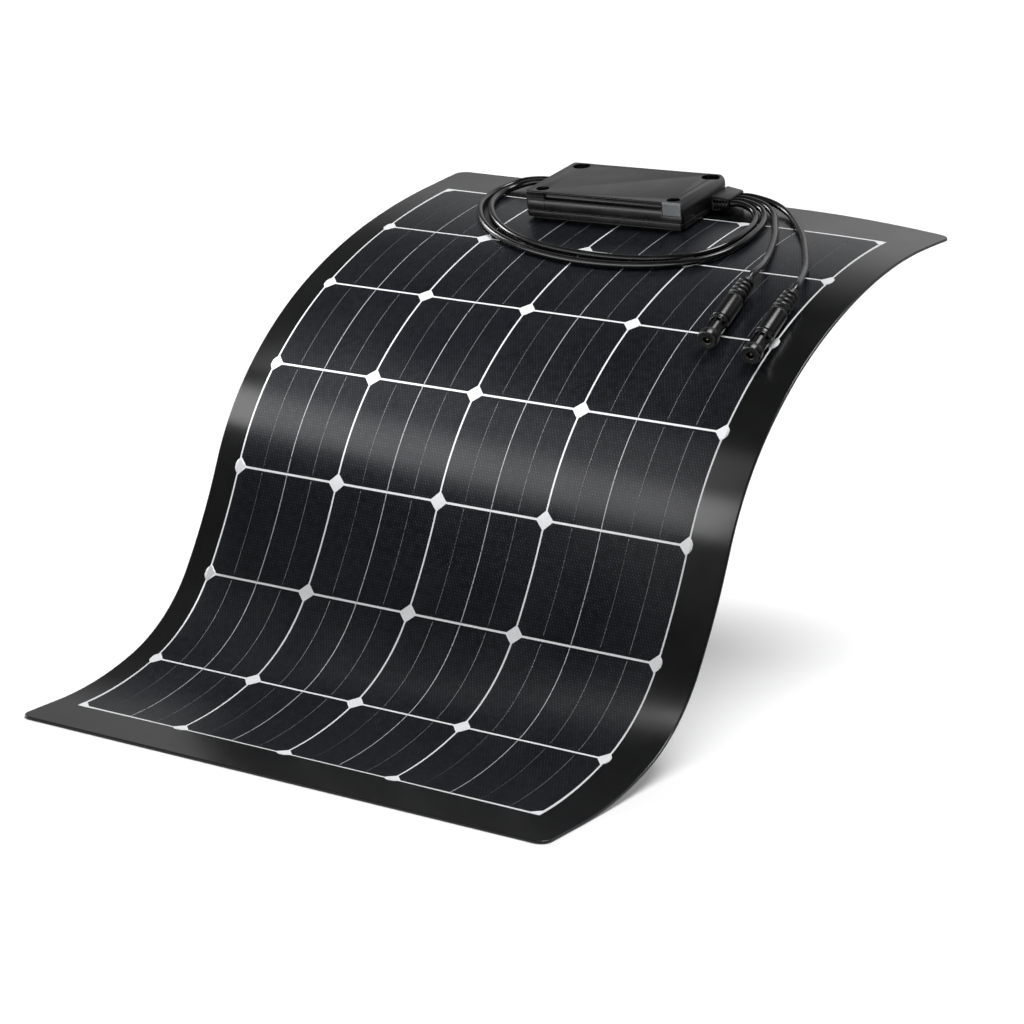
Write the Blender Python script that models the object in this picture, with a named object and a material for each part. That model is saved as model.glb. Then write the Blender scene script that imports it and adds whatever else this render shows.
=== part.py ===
"""Semi-flexible solar sheet: a laminated sheet of dark cells bent in an S, with a junction box,
two jumper leads and two output leads that end in round waterproof connectors.

Frame: +X to the right across the sheet, +Y away from the front edge, +Z up, metres.
The origin is on the underside of the front border, at the middle of that flat strip.

A place on the sheet is given as (x, s, d): x across, s the distance along the sheet from the first
row line, and d the height above the sheet's back face.
"""

from math import cos, floor, pi, radians, sin, sqrt

import bmesh
import bpy
from mathutils import Matrix, Vector

# ---- driving dimensions ----------------------------------------------------------------------
COLUMN_PITCHES = (0.126, 0.126, 0.126, 0.162)   # the last column holds one more strip
ROW_PITCH = 0.116
ROWS = 7
LEFT_BORDER, RIGHT_BORDER = 0.030, 0.044
FRONT_BORDER, TOP_BORDER = 0.056, 0.066
ROW_LINE_SLOPES = (0, 18, 57, 68, 45, 28, 16, 8)  # degrees above level at each row line
SHEET_THICKNESS = 0.003
CORNER_RADIUS = 0.012
FIRST_HEAD_ROW = 6                              # rows 6 and 7 and the top border are one body
FLEX_GAP = 0.0014                               # open line between two bodies of the sheet
GAP = 0.0003                                    # between pieces that touch

FACETS_PER_ROW = 5                              # flat strips that a bent row is made of
CELL_GAP = 0.003
CELL_CHAMFER = 0.011
TAB_WIDTH = 0.006                               # ribbon that joins neighbouring cells

# Layers of the laminate: bottom and top above the back face.
BACK_LAYER = (0.0, 0.0010)
WHITE_LAYER = (0.0013, 0.0016)
CELL_LAYER = (0.0019, 0.0022)
FILM_LAYER = (0.0025, 0.0030)
WHITE_INSET = 0.004                             # of the white layer, from the sheet's edges

# Junction box, in its own frame: x along it, y towards the sheet's top edge, z off the sheet.
BOX_X, BOX_S = -0.044, 0.814                    # its middle on the sheet
BOX_TURN = 3.5                                  # degrees, as seen from above the sheet
BOX_LENGTH, BOX_DEPTH = 0.190, 0.110
BASE_BOTTOM, BASE_TOP = 0.0019, 0.0086
LID_BOTTOM, LID_TOP = 0.0099, 0.0299
WALL = 0.0025
TRAY_FLOOR = 0.0022
BOX_CORNER = 0.006
SCREW_X, SCREW_Y = 0.0785, 0.043
BOSS = 0.026

CABLE_RADIUS = 0.0035
PORT_HEIGHT = 0.0115                            # cable centres above the sheet, at the box
JUMPER_PORTS_Y = (0.042, 0.033)                 # left side: outer jumper, inner jumper
OUTLET_PORTS_Y = (0.017, 0.026, 0.035, 0.044)   # right side: inner, outer, left lead, right lead
GLAND_LENGTH = 0.022
RELIEF_LENGTH = 0.020

SEGMENTS = 16


# ---- frames and routes -----------------------------------------------------------------------
def profile(s):
    """Depth, height and slope of the back face at s. Each row is one arc; borders are straight."""
    slopes = [radians(a) for a in ROW_LINE_SLOPES]
    depth, height = FRONT_BORDER / 2, 0.0
    if s <= 0:
        return depth + s, height, slopes[0]
    left = s
    for first, last in zip(slopes, slopes[1:]):
        length = min(left, ROW_PITCH)
        end = first + (last - first) * length / ROW_PITCH
        depth += length * (sin(end) - sin(first)) / (end - first)
        height += length * (cos(first) - cos(end)) / (end - first)
        left -= length
        if left < 1e-9:
            return depth, height, end
    return depth + left * cos(slopes[-1]), height + left * sin(slopes[-1]), slopes[-1]


def sheet_point(x, s, d=0.0):
    depth, height, slope = profile(s)
    return Vector((x, depth - sin(slope) * d, height + cos(slope) * d))


def facet_point(x, s, d):
    """The place on the faceted sheet: straight between stations, so that the layers stay apart."""
    step = ROW_PITCH / FACETS_PER_ROW
    if s <= 0 or s >= ROWS * ROW_PITCH:
        return sheet_point(x, s, d)
    station = floor(s / step)
    low, high = sheet_point(x, station * step, d), sheet_point(x, (station + 1) * step, d)
    return low.lerp(high, s / step - station)


def sheet_frame(x, s, d, turn=0.0):
    """Axes of a thing that lies on the sheet: X across, Y up the sheet, Z off it."""
    slope = profile(s)[2]
    return (Matrix.Translation(sheet_point(x, s, d)) @ Matrix.Rotation(slope, 4, 'X')
            @ Matrix.Rotation(radians(turn), 4, 'Z'))


COLUMN_LINES = [-(sum(COLUMN_PITCHES) + LEFT_BORDER + RIGHT_BORDER) / 2 + LEFT_BORDER]
for pitch in COLUMN_PITCHES:
    COLUMN_LINES.append(COLUMN_LINES[-1] + pitch)
SHEET_LEFT = COLUMN_LINES[0] - LEFT_BORDER
SHEET_RIGHT = COLUMN_LINES[-1] + RIGHT_BORDER
SHEET_TOP = ROWS * ROW_PITCH + TOP_BORDER
BOX_FRAME = sheet_frame(BOX_X, BOX_S, SHEET_THICKNESS, BOX_TURN)


def port(side, y, out):
    """A point in front of a cable port of the box: side -1 is left, 1 is right."""
    reach = BOX_LENGTH / 2 + (GLAND_LENGTH if side < 0 else RELIEF_LENGTH)
    return BOX_FRAME @ Vector((side * (reach + out), y, PORT_HEIGHT))


LYING = SHEET_THICKNESS + CABLE_RADIUS + 0.0008   # height of a cable's centre on the sheet
STRAIGHT_RUN = 0.010                              # of a lead, out of a port or into a connector
CABLE_SPACING = 0.024                             # between the points of a lead's tube

# Routes on the sheet as (x, s), between the straight runs out of their ports.
OUTER_JUMPER = ((-0.196, 0.845), (-0.2085, 0.832), (-0.213, 0.810), (-0.205, 0.772), (-0.182, 0.737),
                (-0.150, 0.708), (-0.111, 0.687), (-0.064, 0.673), (-0.012, 0.667), (0.037, 0.670),
                (0.078, 0.680), (0.110, 0.696), (0.128, 0.718), (0.134, 0.747), (0.1325, 0.774),
                (0.128, 0.799), (0.1190, 0.8215), (0.104, 0.8395))
INNER_JUMPER = ((-0.1885, 0.8365), (-0.1995, 0.8255), (-0.2025, 0.804), (-0.194, 0.776), (-0.172, 0.745),
                (-0.143, 0.719), (-0.107, 0.699), (-0.062, 0.687), (-0.011, 0.682), (0.034, 0.684),
                (0.070, 0.692), (0.099, 0.706), (0.116, 0.726), (0.1225, 0.751), (0.122, 0.776),
                (0.1185, 0.798), (0.1110, 0.8175), (0.0985, 0.8320))
LEFT_LEAD = ((0.104, 0.850), (0.1235, 0.833), (0.138, 0.810), (0.156, 0.778), (0.170, 0.746),
             (0.181, 0.716), (0.189, 0.692))
RIGHT_LEAD = ((0.108, 0.860), (0.1325, 0.846), (0.154, 0.824), (0.184, 0.786), (0.210, 0.744),
              (0.231, 0.706), (0.242, 0.680))
PORT_LIFTS = (0.0012, 0.0045)     # of a lead over the sheet, at the two points next to a port
LEAD_LIFTS = (0.0012, 0.0052)     # and at the two points next to a connector

# Connectors: straight, touching the sheet with the middle of the housing.
CONNECTOR_LENGTH = 0.107
BOOT_END, HOUSING_END, FLANGE_START = 0.036, 0.073, 0.098
HOUSING_RADIUS = 0.0100
CONNECTOR_TOUCH = 0.045                         # from the boot's tail to the place that touches
LEFT_CONNECTOR = (0.197, 0.617, -5.0)           # x and s where it touches, and its turn
RIGHT_CONNECTOR = (0.253, 0.605, -4.0)


def connector_frame(x, s, turn):
    """Z runs along the connector, from the boot's tail to the open end; -Y is off the sheet."""
    touch = sheet_frame(x, s, SHEET_THICKNESS + GAP + HOUSING_RADIUS, -turn)
    return touch @ Matrix.Rotation(pi / 2, 4, 'X') @ Matrix.Translation((0, 0, -CONNECTOR_TOUCH))


def smooth_curve(points, spacing):
    """Points at an even spacing along the centripetal Catmull-Rom curve through the route."""
    ends = [points[0] * 2 - points[1]] + list(points) + [points[-1] * 2 - points[-2]]
    fine = []
    for a, b, c, d in zip(ends, ends[1:], ends[2:], ends[3:]):
        t1 = sqrt((b - a).length)
        t2 = t1 + sqrt((c - b).length)
        t3 = t2 + sqrt((d - c).length)
        for step in range(24):
            t = t1 + (t2 - t1) * step / 24
            a1 = a.lerp(b, t / t1)
            a2 = b.lerp(c, (t - t1) / (t2 - t1))
            a3 = c.lerp(d, (t - t2) / (t3 - t2))
            b1 = a1.lerp(a2, t / t2)
            b2 = a2.lerp(a3, (t - t1) / (t3 - t1))
            fine.append(b1.lerp(b2, (t - t1) / (t2 - t1)))
    fine.append(points[-1])
    length = sum((q - p).length for p, q in zip(fine, fine[1:]))
    count = max(2, round(length / spacing))
    even, travelled, target = [fine[0]], 0.0, length / count
    for p, q in zip(fine, fine[1:]):
        step = (q - p).length
        while travelled + step >= target and len(even) < count:
            even.append(p.lerp(q, (target - travelled) / step))
            target += length / count
        travelled += step
    even.append(fine[-1])
    return even


# ---- materials -------------------------------------------------------------------------------
def material(name, color, roughness, metallic=0.0):
    mat = bpy.data.materials.new(name)
    mat.use_nodes = True
    shader = mat.node_tree.nodes['Principled BSDF']
    shader.inputs['Base Color'].default_value = (*color, 1.0)
    shader.inputs['Roughness'].default_value = roughness
    shader.inputs['Metallic'].default_value = metallic
    mat.diffuse_color = (*color, 1.0)
    return mat


# ---- making objects --------------------------------------------------------------------------
def add_object(name, mesh, mat, frame=None):
    thing = bpy.data.objects.new(name, mesh)
    mesh.materials.append(mat)
    bpy.context.collection.objects.link(thing)
    if frame is not None:
        thing.parent = frame
    return thing


def mesh_from(bm, name):
    bmesh.ops.recalc_face_normals(bm, faces=bm.faces)
    mesh = bpy.data.meshes.new(name)
    bm.to_mesh(mesh)
    bm.free()
    return mesh


def empty(name, matrix):
    thing = bpy.data.objects.new(name, None)
    bpy.context.collection.objects.link(thing)
    thing.matrix_world = matrix
    return thing


def prism(outline, low, high):
    """A straight solid over a closed outline of (x, y) points."""
    bm = bmesh.new()
    bottom = bm.faces.new([bm.verts.new((x, y, low)) for x, y in outline])
    top = bmesh.ops.extrude_face_region(bm, geom=[bottom])['geom']
    bmesh.ops.translate(bm, vec=(0, 0, high - low),
                        verts=[v for v in top if isinstance(v, bmesh.types.BMVert)])
    return bm


def bent_plate(name, outline, layer, mat):
    """One layer of the laminate over an outline of (x, s) points, bent to the sheet's shape."""
    bm = prism(outline, *layer)
    first, last = min(s for _, s in outline), max(s for _, s in outline)
    step = ROW_PITCH / FACETS_PER_ROW
    for k in range(FACETS_PER_ROW * ROWS + 1):
        if first + 1e-5 < k * step < last - 1e-5:
            bmesh.ops.bisect_plane(bm, geom=bm.verts[:] + bm.edges[:] + bm.faces[:],
                                   plane_co=(0, k * step, 0), plane_no=(0, 1, 0))
    bmesh.ops.triangulate(bm, faces=bm.faces)
    for v in bm.verts:
        v.co = facet_point(*v.co)
    return add_object(name, mesh_from(bm, name), mat)


def turned(name, outline, mat, frame, segments=SEGMENTS, flutes=None):
    """A body of revolution about Z from (radius, z) points. A profile that starts and ends on the
    axis is closed there, and any other is a ring. flutes is (low z, high z, depth)."""
    bm = bmesh.new()
    rings = []
    for radius, z in outline:
        if radius == 0:
            rings.append([bm.verts.new((0, 0, z))])
            continue
        ring = []
        for k in range(segments):
            cut = flutes is not None and k % 2 and flutes[0] <= z <= flutes[1]
            r = radius - flutes[2] if cut and radius > 0.007 else radius
            angle = 2 * pi * k / segments
            ring.append(bm.verts.new((r * cos(angle), r * sin(angle), z)))
        rings.append(ring)
    if outline[0][0] > 0:
        rings.append(rings[0])
    for low, high in zip(rings, rings[1:]):
        for k in range(segments):
            n = (k + 1) % segments
            corners = [low[k % len(low)], low[n % len(low)], high[n % len(high)], high[k % len(high)]]
            bm.faces.new(list(dict.fromkeys(corners)))
    mesh = mesh_from(bm, name)
    mesh.shade_smooth()
    mesh.set_sharp_from_angle(angle=radians(35))
    return add_object(name, mesh, mat, frame)


def rectangle(width, depth, x=0.0, y=0.0):
    w, h = width / 2, depth / 2
    return [(x - w, y - h), (x + w, y - h), (x + w, y + h), (x - w, y + h)]


def rounded_rectangle(x0, y0, x1, y1, radii, steps=4):
    """Corners in the order lower left, lower right, upper right, upper left; radius 0 is sharp."""
    points = []
    corners = ((x0, y0, 1, 1), (x1, y0, -1, 1), (x1, y1, -1, -1), (x0, y1, 1, -1))
    for k, ((x, y, sx, sy), r) in enumerate(zip(corners, radii)):
        if r == 0:
            points.append((x, y))
            continue
        start = pi + k * pi / 2
        for j in range(steps + 1):
            a = start + j * pi / 2 / steps
            points.append((x + sx * r + r * cos(a), y + sy * r + r * sin(a)))
    return points


def oval(width, height, steps=5):
    """Outline with round ends, wider than it is high."""
    r = height / 2
    c = width / 2 - r
    right = [(c + r * sin(pi * k / steps), -r * cos(pi * k / steps)) for k in range(steps + 1)]
    return right + [(-x, -y) for x, y in right]


def solid(name, outline, low, high, mat, frame, place=Matrix(), bevel=0.0):
    """A prism in a frame; its outline is in the plane that place gives."""
    bm = prism(outline, low, high)
    bmesh.ops.transform(bm, matrix=place, verts=bm.verts)
    thing = add_object(name, mesh_from(bm, name), mat, frame)
    if bevel:
        mod = thing.modifiers.new('edges', 'BEVEL')
        mod.width = bevel
        mod.segments = 1
        mod.limit_method = 'ANGLE'
        mod.angle_limit = radians(60)
    return thing


def cut(thing, *cutters):
    for cutter in cutters:
        cutter.hide_render = True
        cutter.display_type = 'WIRE'
        mod = thing.modifiers.new('cut', 'BOOLEAN')
        mod.operation = 'DIFFERENCE'
        mod.solver = 'EXACT'
        mod.object = cutter
    return thing


ALONG_X = Matrix(((0, 0, 1), (1, 0, 0), (0, 1, 0))).to_4x4()   # outline (y, z), length along X


# ---- the sheet -------------------------------------------------------------------------------
def sheet_bodies():
    """Number, first and last s of each body of the sheet, with the flex gaps taken off."""
    spans = []
    for number in range(1, FIRST_HEAD_ROW + 1):
        start = (number - 1) * ROW_PITCH + FLEX_GAP / 2
        end = number * ROW_PITCH - FLEX_GAP / 2
        if number == 1:
            start = -FRONT_BORDER
        if number == FIRST_HEAD_ROW:
            end = SHEET_TOP
        spans.append((number, start, end))
    return spans


def layer_outline(start, end, inset):
    """A layer of one body, set in from the sheet's free edges."""
    radii = [0, 0, 0, 0]
    if start < 0:
        radii[0] = radii[1] = CORNER_RADIUS - inset
        start += inset
    if end > ROWS * ROW_PITCH:
        radii[2] = radii[3] = CORNER_RADIUS - inset
        end -= inset
    return rounded_rectangle(SHEET_LEFT + inset, start, SHEET_RIGHT - inset, end, radii)


def cell_string_outline(row):
    """The cells of one row, joined by their ribbon tabs into one outline."""
    low = (row - 1) * ROW_PITCH + CELL_GAP / 2
    high = row * ROW_PITCH - CELL_GAP / 2
    middle = (low + high) / 2
    side = []
    for left, right in zip(COLUMN_LINES, COLUMN_LINES[1:]):
        x0, x1 = left + CELL_GAP / 2, right - CELL_GAP / 2
        tab = middle - TAB_WIDTH / 2
        side += [(x0, tab), (x0, low + CELL_CHAMFER), (x0 + CELL_CHAMFER, low),
                 (x1 - CELL_CHAMFER, low), (x1, low + CELL_CHAMFER), (x1, tab)]
    side = side[1:-1]
    return side + [(x, 2 * middle - s) for x, s in reversed(side)]


def make_sheet():
    back = material('black_back_sheet', (0.018, 0.018, 0.02), 0.55)
    white = material('white_reflector', (0.82, 0.83, 0.84), 0.5)
    cell = material('dark_blue_cells', (0.012, 0.014, 0.024), 0.3)
    film = material('satin_front_film', (0.02, 0.021, 0.024), 0.38)
    for number, start, end in sheet_bodies():
        bent_plate(f'back_sheet_{number}', layer_outline(start, end, 0.0), BACK_LAYER, back)
        bent_plate(f'white_layer_{number}', layer_outline(start, end, WHITE_INSET), WHITE_LAYER, white)
        bent_plate(f'front_film_{number}', layer_outline(start, end, 0.0), FILM_LAYER, film)
    for row in range(1, ROWS + 1):
        bent_plate(f'cell_string_{row}', cell_string_outline(row), CELL_LAYER, cell)


# ---- the junction box ------------------------------------------------------------------------
def make_adhesive_pad(mat):
    """Foam tape: flat on top, and following the sheet's curve below."""
    bm = prism(rectangle(BOX_LENGTH - 0.012, BOX_DEPTH - 0.012), 0.0, BASE_BOTTOM - GAP)
    for k in range(1, 5):
        y = (k / 5 - 0.5) * (BOX_DEPTH - 0.012)
        bmesh.ops.bisect_plane(bm, geom=bm.verts[:] + bm.edges[:] + bm.faces[:],
                               plane_co=(0, y, 0), plane_no=(0, 1, 0))
    bmesh.ops.triangulate(bm, faces=bm.faces)
    turn = radians(BOX_TURN)
    for v in bm.verts:
        x, y, z = v.co
        if z > 0:
            v.co = BOX_FRAME @ v.co
        else:
            v.co = facet_point(BOX_X + x * cos(turn) - y * sin(turn),
                               BOX_S + x * sin(turn) + y * cos(turn), SHEET_THICKNESS + GAP)
    add_object('adhesive_pad', mesh_from(bm, 'adhesive_pad'), mat)


def box_outline(inset=0.0):
    w, h, r = BOX_LENGTH / 2 - inset, BOX_DEPTH / 2 - inset, BOX_CORNER - inset
    return rounded_rectangle(-w, -h, w, h, (r, r, r, r), steps=3)


def bossed_outline():
    """The hollow of base and lid: a rectangle that leaves a boss in each corner."""
    w, h = BOX_LENGTH / 2 - WALL, BOX_DEPTH / 2 - WALL
    a, b = w - BOSS, h - BOSS
    return [(w, -b), (w, b), (a, b), (a, h), (-a, h), (-a, b), (-w, b), (-w, -b), (-a, -b),
            (-a, -h), (a, -h), (a, -b)]


def port_cutter(name, side, mat, frame):
    """The notch in the lid's end wall that the leads' conductors pass through."""
    ports = JUMPER_PORTS_Y if side < 0 else OUTLET_PORTS_Y
    middle = (ports[0] + ports[-1]) / 2
    width = abs(ports[0] - ports[-1]) + 0.008
    ends = sorted((side * (BOX_LENGTH / 2 - 0.006), side * (BOX_LENGTH / 2 + 0.004)))
    low, high = LID_BOTTOM - 0.001, PORT_HEIGHT + 0.004
    outline = rectangle(width, high - low, middle, (low + high) / 2)
    return solid(name, outline, *ends, mat, frame, ALONG_X)


def make_box(frame):
    plastic = material('black_moulded_plastic', (0.02, 0.02, 0.022), 0.42)
    rubber = material('black_rubber', (0.012, 0.012, 0.012), 0.7)
    steel = material('dark_steel', (0.25, 0.25, 0.26), 0.35, 1.0)
    brass = material('brass', (0.75, 0.58, 0.28), 0.3, 1.0)
    copper = material('tinned_copper', (0.72, 0.70, 0.66), 0.35, 1.0)
    catch = material('grey_catch_plastic', (0.16, 0.165, 0.17), 0.35)
    make_adhesive_pad(rubber)

    hollow = bossed_outline()
    left_port = port_cutter('left_port_cutter', -1, plastic, frame)
    right_port = port_cutter('right_port_cutter', 1, plastic, frame)
    base = solid('box_base', box_outline(), BASE_BOTTOM, BASE_TOP, plastic, frame)
    tray = solid('tray_cutter', hollow, BASE_BOTTOM + TRAY_FLOOR, BASE_TOP + 0.001, plastic, frame)
    slot = solid('ribbon_slot_cutter', rectangle(0.060, 0.010, 0, -0.030), 0.0, 0.006, plastic, frame)
    cut(base, tray, slot)

    gasket = solid('lid_gasket', box_outline(0.0005), BASE_TOP + GAP, LID_BOTTOM - GAP, rubber, frame)
    opening = solid('gasket_cutter', hollow, BASE_TOP, LID_BOTTOM, rubber, frame)
    cut(gasket, opening)

    lid = solid('box_lid', box_outline(), LID_BOTTOM, LID_TOP, plastic, frame, bevel=0.0018)
    room = solid('lid_cutter', hollow, LID_BOTTOM - 0.001, LID_TOP - WALL, plastic, frame)
    front = -BOX_DEPTH / 2
    groove = solid('groove_cutter', rectangle(0.132, 0.004, 0, front), LID_TOP - 0.0054, LID_TOP - 0.0024, plastic, frame)
    catch_x = BOX_LENGTH / 2 - 0.013
    seat = solid('catch_seat_cutter', rectangle(0.0226, 0.0044, catch_x, front), LID_TOP - 0.0145, 0.033,
                 plastic, frame)
    cut(lid, room, groove, seat, left_port, right_port)
    solid('lid_catch', rectangle(0.0220, 0.0019, catch_x, front + 0.00095), LID_TOP - 0.0142,
          LID_TOP - 0.0002, catch, frame, bevel=0.0004)

    seat_height = LID_TOP - 0.0039
    for k, (sx, sy) in enumerate(((-1, -1), (1, -1), (1, 1), (-1, 1)), 1):
        place = Matrix.Translation((sx * SCREW_X, sy * SCREW_Y, 0))
        holder = empty(f'screw_axis_{k}', Matrix())
        holder.parent = frame
        holder.matrix_local = place
        recess = turned(f'recess_cutter_{k}', ((0, seat_height), (0.0085, seat_height), (0.0085, 0.033),
                                               (0, 0.033)), plastic, holder, 12)
        shank = turned(f'shank_cutter_{k}', ((0, 0.0045), (0.0022, 0.0045), (0.0022, 0.033),
                                             (0, 0.033)), plastic, holder, 12)
        cut(lid, recess, shank)
        cut(gasket, shank)
        cut(base, shank)
        under = seat_height + GAP
        head = ((0, 0.0050), (0.0018, 0.0050), (0.0018, under), (0.0056, under), (0.0056, under + 0.0018),
                (0.0032, under + 0.0028), (0, under + 0.0028))
        turned(f'lid_screw_{k}', head, steel, holder, 12)

    rest = BASE_BOTTOM + TRAY_FLOOR + GAP                # what lies on the tray's floor
    solid('terminal_rail', rectangle(0.090, 0.014, 0, -0.012), rest, rest + 0.006, plastic, frame,
          bevel=0.0006)
    for k, x in enumerate((-0.028, 0.028), 1):
        solid(f'terminal_{k}', rectangle(0.012, 0.010, x, -0.012), rest + 0.0063, rest + 0.0100,
              brass, frame, bevel=0.0006)
        solid(f'bus_ribbon_{k}', rectangle(0.005, 0.014, x * 0.9, -0.0275), rest, rest + 0.0005,
              copper, frame)
    for k, x in enumerate((-0.042, 0.0, 0.042), 1):
        holder = empty(f'diode_axis_{k}', Matrix())
        holder.parent = frame
        holder.matrix_local = (Matrix.Translation((x, 0.012, rest + 0.005))
                               @ Matrix.Rotation(pi / 2, 4, 'Y'))
        half, lead = 0.0048, 0.0145
        turned(f'bypass_diode_{k}', ((0, -lead), (0.0006, -lead), (0.0006, -half), (0.0027, -half),
                                     (0.0027, half), (0.0006, half), (0.0006, lead), (0, lead)),
               plastic, holder, 10)


def make_outlets(frame):
    """The oval gland on the left and the ribbed strain relief on the right."""
    rubber = bpy.data.materials['black_rubber']
    plastic = bpy.data.materials['black_moulded_plastic']
    side = BOX_LENGTH / 2
    middle = sum(JUMPER_PORTS_Y) / 2
    centre = Matrix.Translation((0, middle, PORT_HEIGHT)) @ ALONG_X
    cap = 0.009
    solid('cable_gland', oval(0.022, 0.013), -side - GLAND_LENGTH + cap + GAP, -side - GAP, plastic,
          frame, centre, bevel=0.0008)
    solid('gland_cap', oval(0.020, 0.011), -side - GLAND_LENGTH, -side - GLAND_LENGTH + cap, plastic,
          frame, centre, bevel=0.0012)

    middle = (OUTLET_PORTS_Y[0] + OUTLET_PORTS_Y[-1]) / 2
    low, high = 0.0015, 0.0195
    start, end = side + GAP, side + RELIEF_LENGTH
    bm = prism(rectangle(0.042, high - low, middle, (low + high) / 2), start, end)
    bmesh.ops.transform(bm, matrix=ALONG_X, verts=bm.verts)
    for v in bm.verts:
        if v.co.x > end - 1e-6:
            v.co.y = middle + (v.co.y - middle) * 0.86
            v.co.z = PORT_HEIGHT + (v.co.z - PORT_HEIGHT) * 0.72
    relief = add_object('strain_relief', mesh_from(bm, 'strain_relief'), rubber, frame)
    for k in range(4):
        x = start + 0.0036 + 0.0042 * k
        for row, z in enumerate((0.0068, 0.0138)):
            slot = solid(f'rib_cutter_{k}_{row}', rectangle(0.0022, 0.060, x, middle), z - 0.0014,
                         z + 0.0014, rubber, frame)
            inner = solid(f'rib_core_{k}_{row}', rectangle(0.0030, 0.030, x, middle), z - 0.0020,
                          z + 0.0020, rubber, frame)
            cut(slot, inner)
            cut(relief, slot)


# ---- leads and connectors --------------------------------------------------------------------
def lead_points(start_side, start_y, route, end, lifts=PORT_LIFTS):
    """A lead's route: straight out of its port, down onto the sheet, along it and to its end.

    lifts: how far the lead has left the sheet at the last two points of its route."""
    points = [port(start_side, start_y, GAP), port(start_side, start_y, STRAIGHT_RUN)]
    heights = [*reversed(PORT_LIFTS), *[0.0] * (len(route) - 4), *lifts]
    points += [sheet_point(x, s, LYING + height) for (x, s), height in zip(route, heights)]
    return points + end


def jumper_end(y):
    """Straight into the strain relief."""
    return [port(1, y, STRAIGHT_RUN), port(1, y, GAP)]


def connector_end(place):
    """Straight into the tail of a connector."""
    frame = connector_frame(*place)
    return [frame @ Vector((0, 0, -STRAIGHT_RUN)), frame @ Vector((0, 0, -GAP))]


def lead_routes():
    outer, inner = JUMPER_PORTS_Y
    inner_end, outer_end, left, right = OUTLET_PORTS_Y
    return {
        'jumper_lead_outer': lead_points(-1, outer, OUTER_JUMPER, jumper_end(outer_end)),
        'jumper_lead_inner': lead_points(-1, inner, INNER_JUMPER, jumper_end(inner_end)),
        'output_lead_left': lead_points(1, left, LEFT_LEAD, connector_end(LEFT_CONNECTOR),
                                        LEAD_LIFTS),
        'output_lead_right': lead_points(1, right, RIGHT_LEAD, connector_end(RIGHT_CONNECTOR),
                                        LEAD_LIFTS),
    }


def make_leads():
    jacket = material('black_cable_jacket', (0.014, 0.014, 0.015), 0.5)
    for name, points in lead_routes().items():
        data = bpy.data.curves.new(name, 'CURVE')
        data.dimensions = '3D'
        data.bevel_depth = CABLE_RADIUS
        data.bevel_resolution = 2
        data.use_fill_caps = True
        data.resolution_u = 1
        data.render_resolution_u = 0
        data.materials.append(jacket)
        spline = data.splines.new('POLY')
        even = smooth_curve(points, CABLE_SPACING)
        even[1:1], even[-1:-1] = [points[1]], [points[-2]]   # square ends, straight out of the port
        spline.points.add(len(even) - 1)
        for target, point in zip(spline.points, even):
            target.co = (*point, 1.0)
        bpy.context.collection.objects.link(bpy.data.objects.new(name, data))


def make_connector(side, place):
    rubber = bpy.data.materials['black_rubber']
    plastic = bpy.data.materials['black_moulded_plastic']
    brass = bpy.data.materials['brass']
    frame = empty(f'connector_axis_{side}', connector_frame(*place))

    boot = [(0, 0), (0.0050, 0), (0.0062, 0.004)]
    for k in range(4):
        z = 0.006 + 0.0070 * k
        ring, groove = 0.0082 + 0.0004 * k, 0.0066 + 0.0004 * k
        boot += [(ring, z), (ring, z + 0.0036), (groove, z + 0.0046), (groove, z + 0.0062)]
    boot += [(0.0092, BOOT_END - 0.001), (0.0092, BOOT_END), (0, BOOT_END)]
    turned(f'connector_boot_{side}', boot, rubber, frame)

    start = BOOT_END + GAP
    housing = turned(f'connector_housing_{side}',
                     ((0, start), (0.0092, start), (HOUSING_RADIUS, start + 0.0015),
                      (HOUSING_RADIUS, HOUSING_END - 0.003), (0.0090, HOUSING_END), (0, HOUSING_END)),
                     plastic, frame)
    flat = solid(f'flat_cutter_{side}', rectangle(0.030, 0.010, 0, -0.0137), start + 0.006,
                 HOUSING_END - 0.006, plastic, frame)
    cut(housing, flat)

    start = HOUSING_END + GAP
    turned(f'coupling_nut_{side}',
           ((0.0060, start), (0.0088, start), (0.0088, FLANGE_START), (0.0105, FLANGE_START + 0.0012),
            (0.0105, CONNECTOR_LENGTH - 0.0012), (0.0095, CONNECTOR_LENGTH), (0.0038, CONNECTOR_LENGTH),
            (0.0038, FLANGE_START + 0.0020), (0.0060, FLANGE_START + 0.0010)),
           plastic, frame, 24, flutes=(start, FLANGE_START, 0.0011))
    turned(f'connector_insert_{side}',
           ((0.0018, start), (0.0055, start), (0.0055, FLANGE_START), (0.0018, FLANGE_START)),
           plastic, frame)
    turned(f'contact_pin_{side}',
           ((0, start + 0.002), (0.0014, start + 0.002), (0.0014, CONNECTOR_LENGTH - 0.003),
            (0.0009, CONNECTOR_LENGTH - 0.002), (0, CONNECTOR_LENGTH - 0.002)), brass, frame, 10)


def main():
    for thing in list(bpy.data.objects):
        bpy.data.objects.remove(thing, do_unlink=True)
    make_sheet()
    box = empty('box_frame', BOX_FRAME)
    make_box(box)
    make_outlets(box)
    make_leads()
    make_connector('left', LEFT_CONNECTOR)
    make_connector('right', RIGHT_CONNECTOR)
    bpy.context.view_layer.update()


main()
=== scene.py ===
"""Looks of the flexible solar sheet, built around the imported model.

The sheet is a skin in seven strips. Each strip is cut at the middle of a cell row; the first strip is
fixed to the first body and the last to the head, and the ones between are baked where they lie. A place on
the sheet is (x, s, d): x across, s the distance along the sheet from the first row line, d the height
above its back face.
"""

import random
from math import cos, pi, radians, sin, sqrt

import bmesh
import bpy
from mathutils import Matrix, Vector


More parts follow.
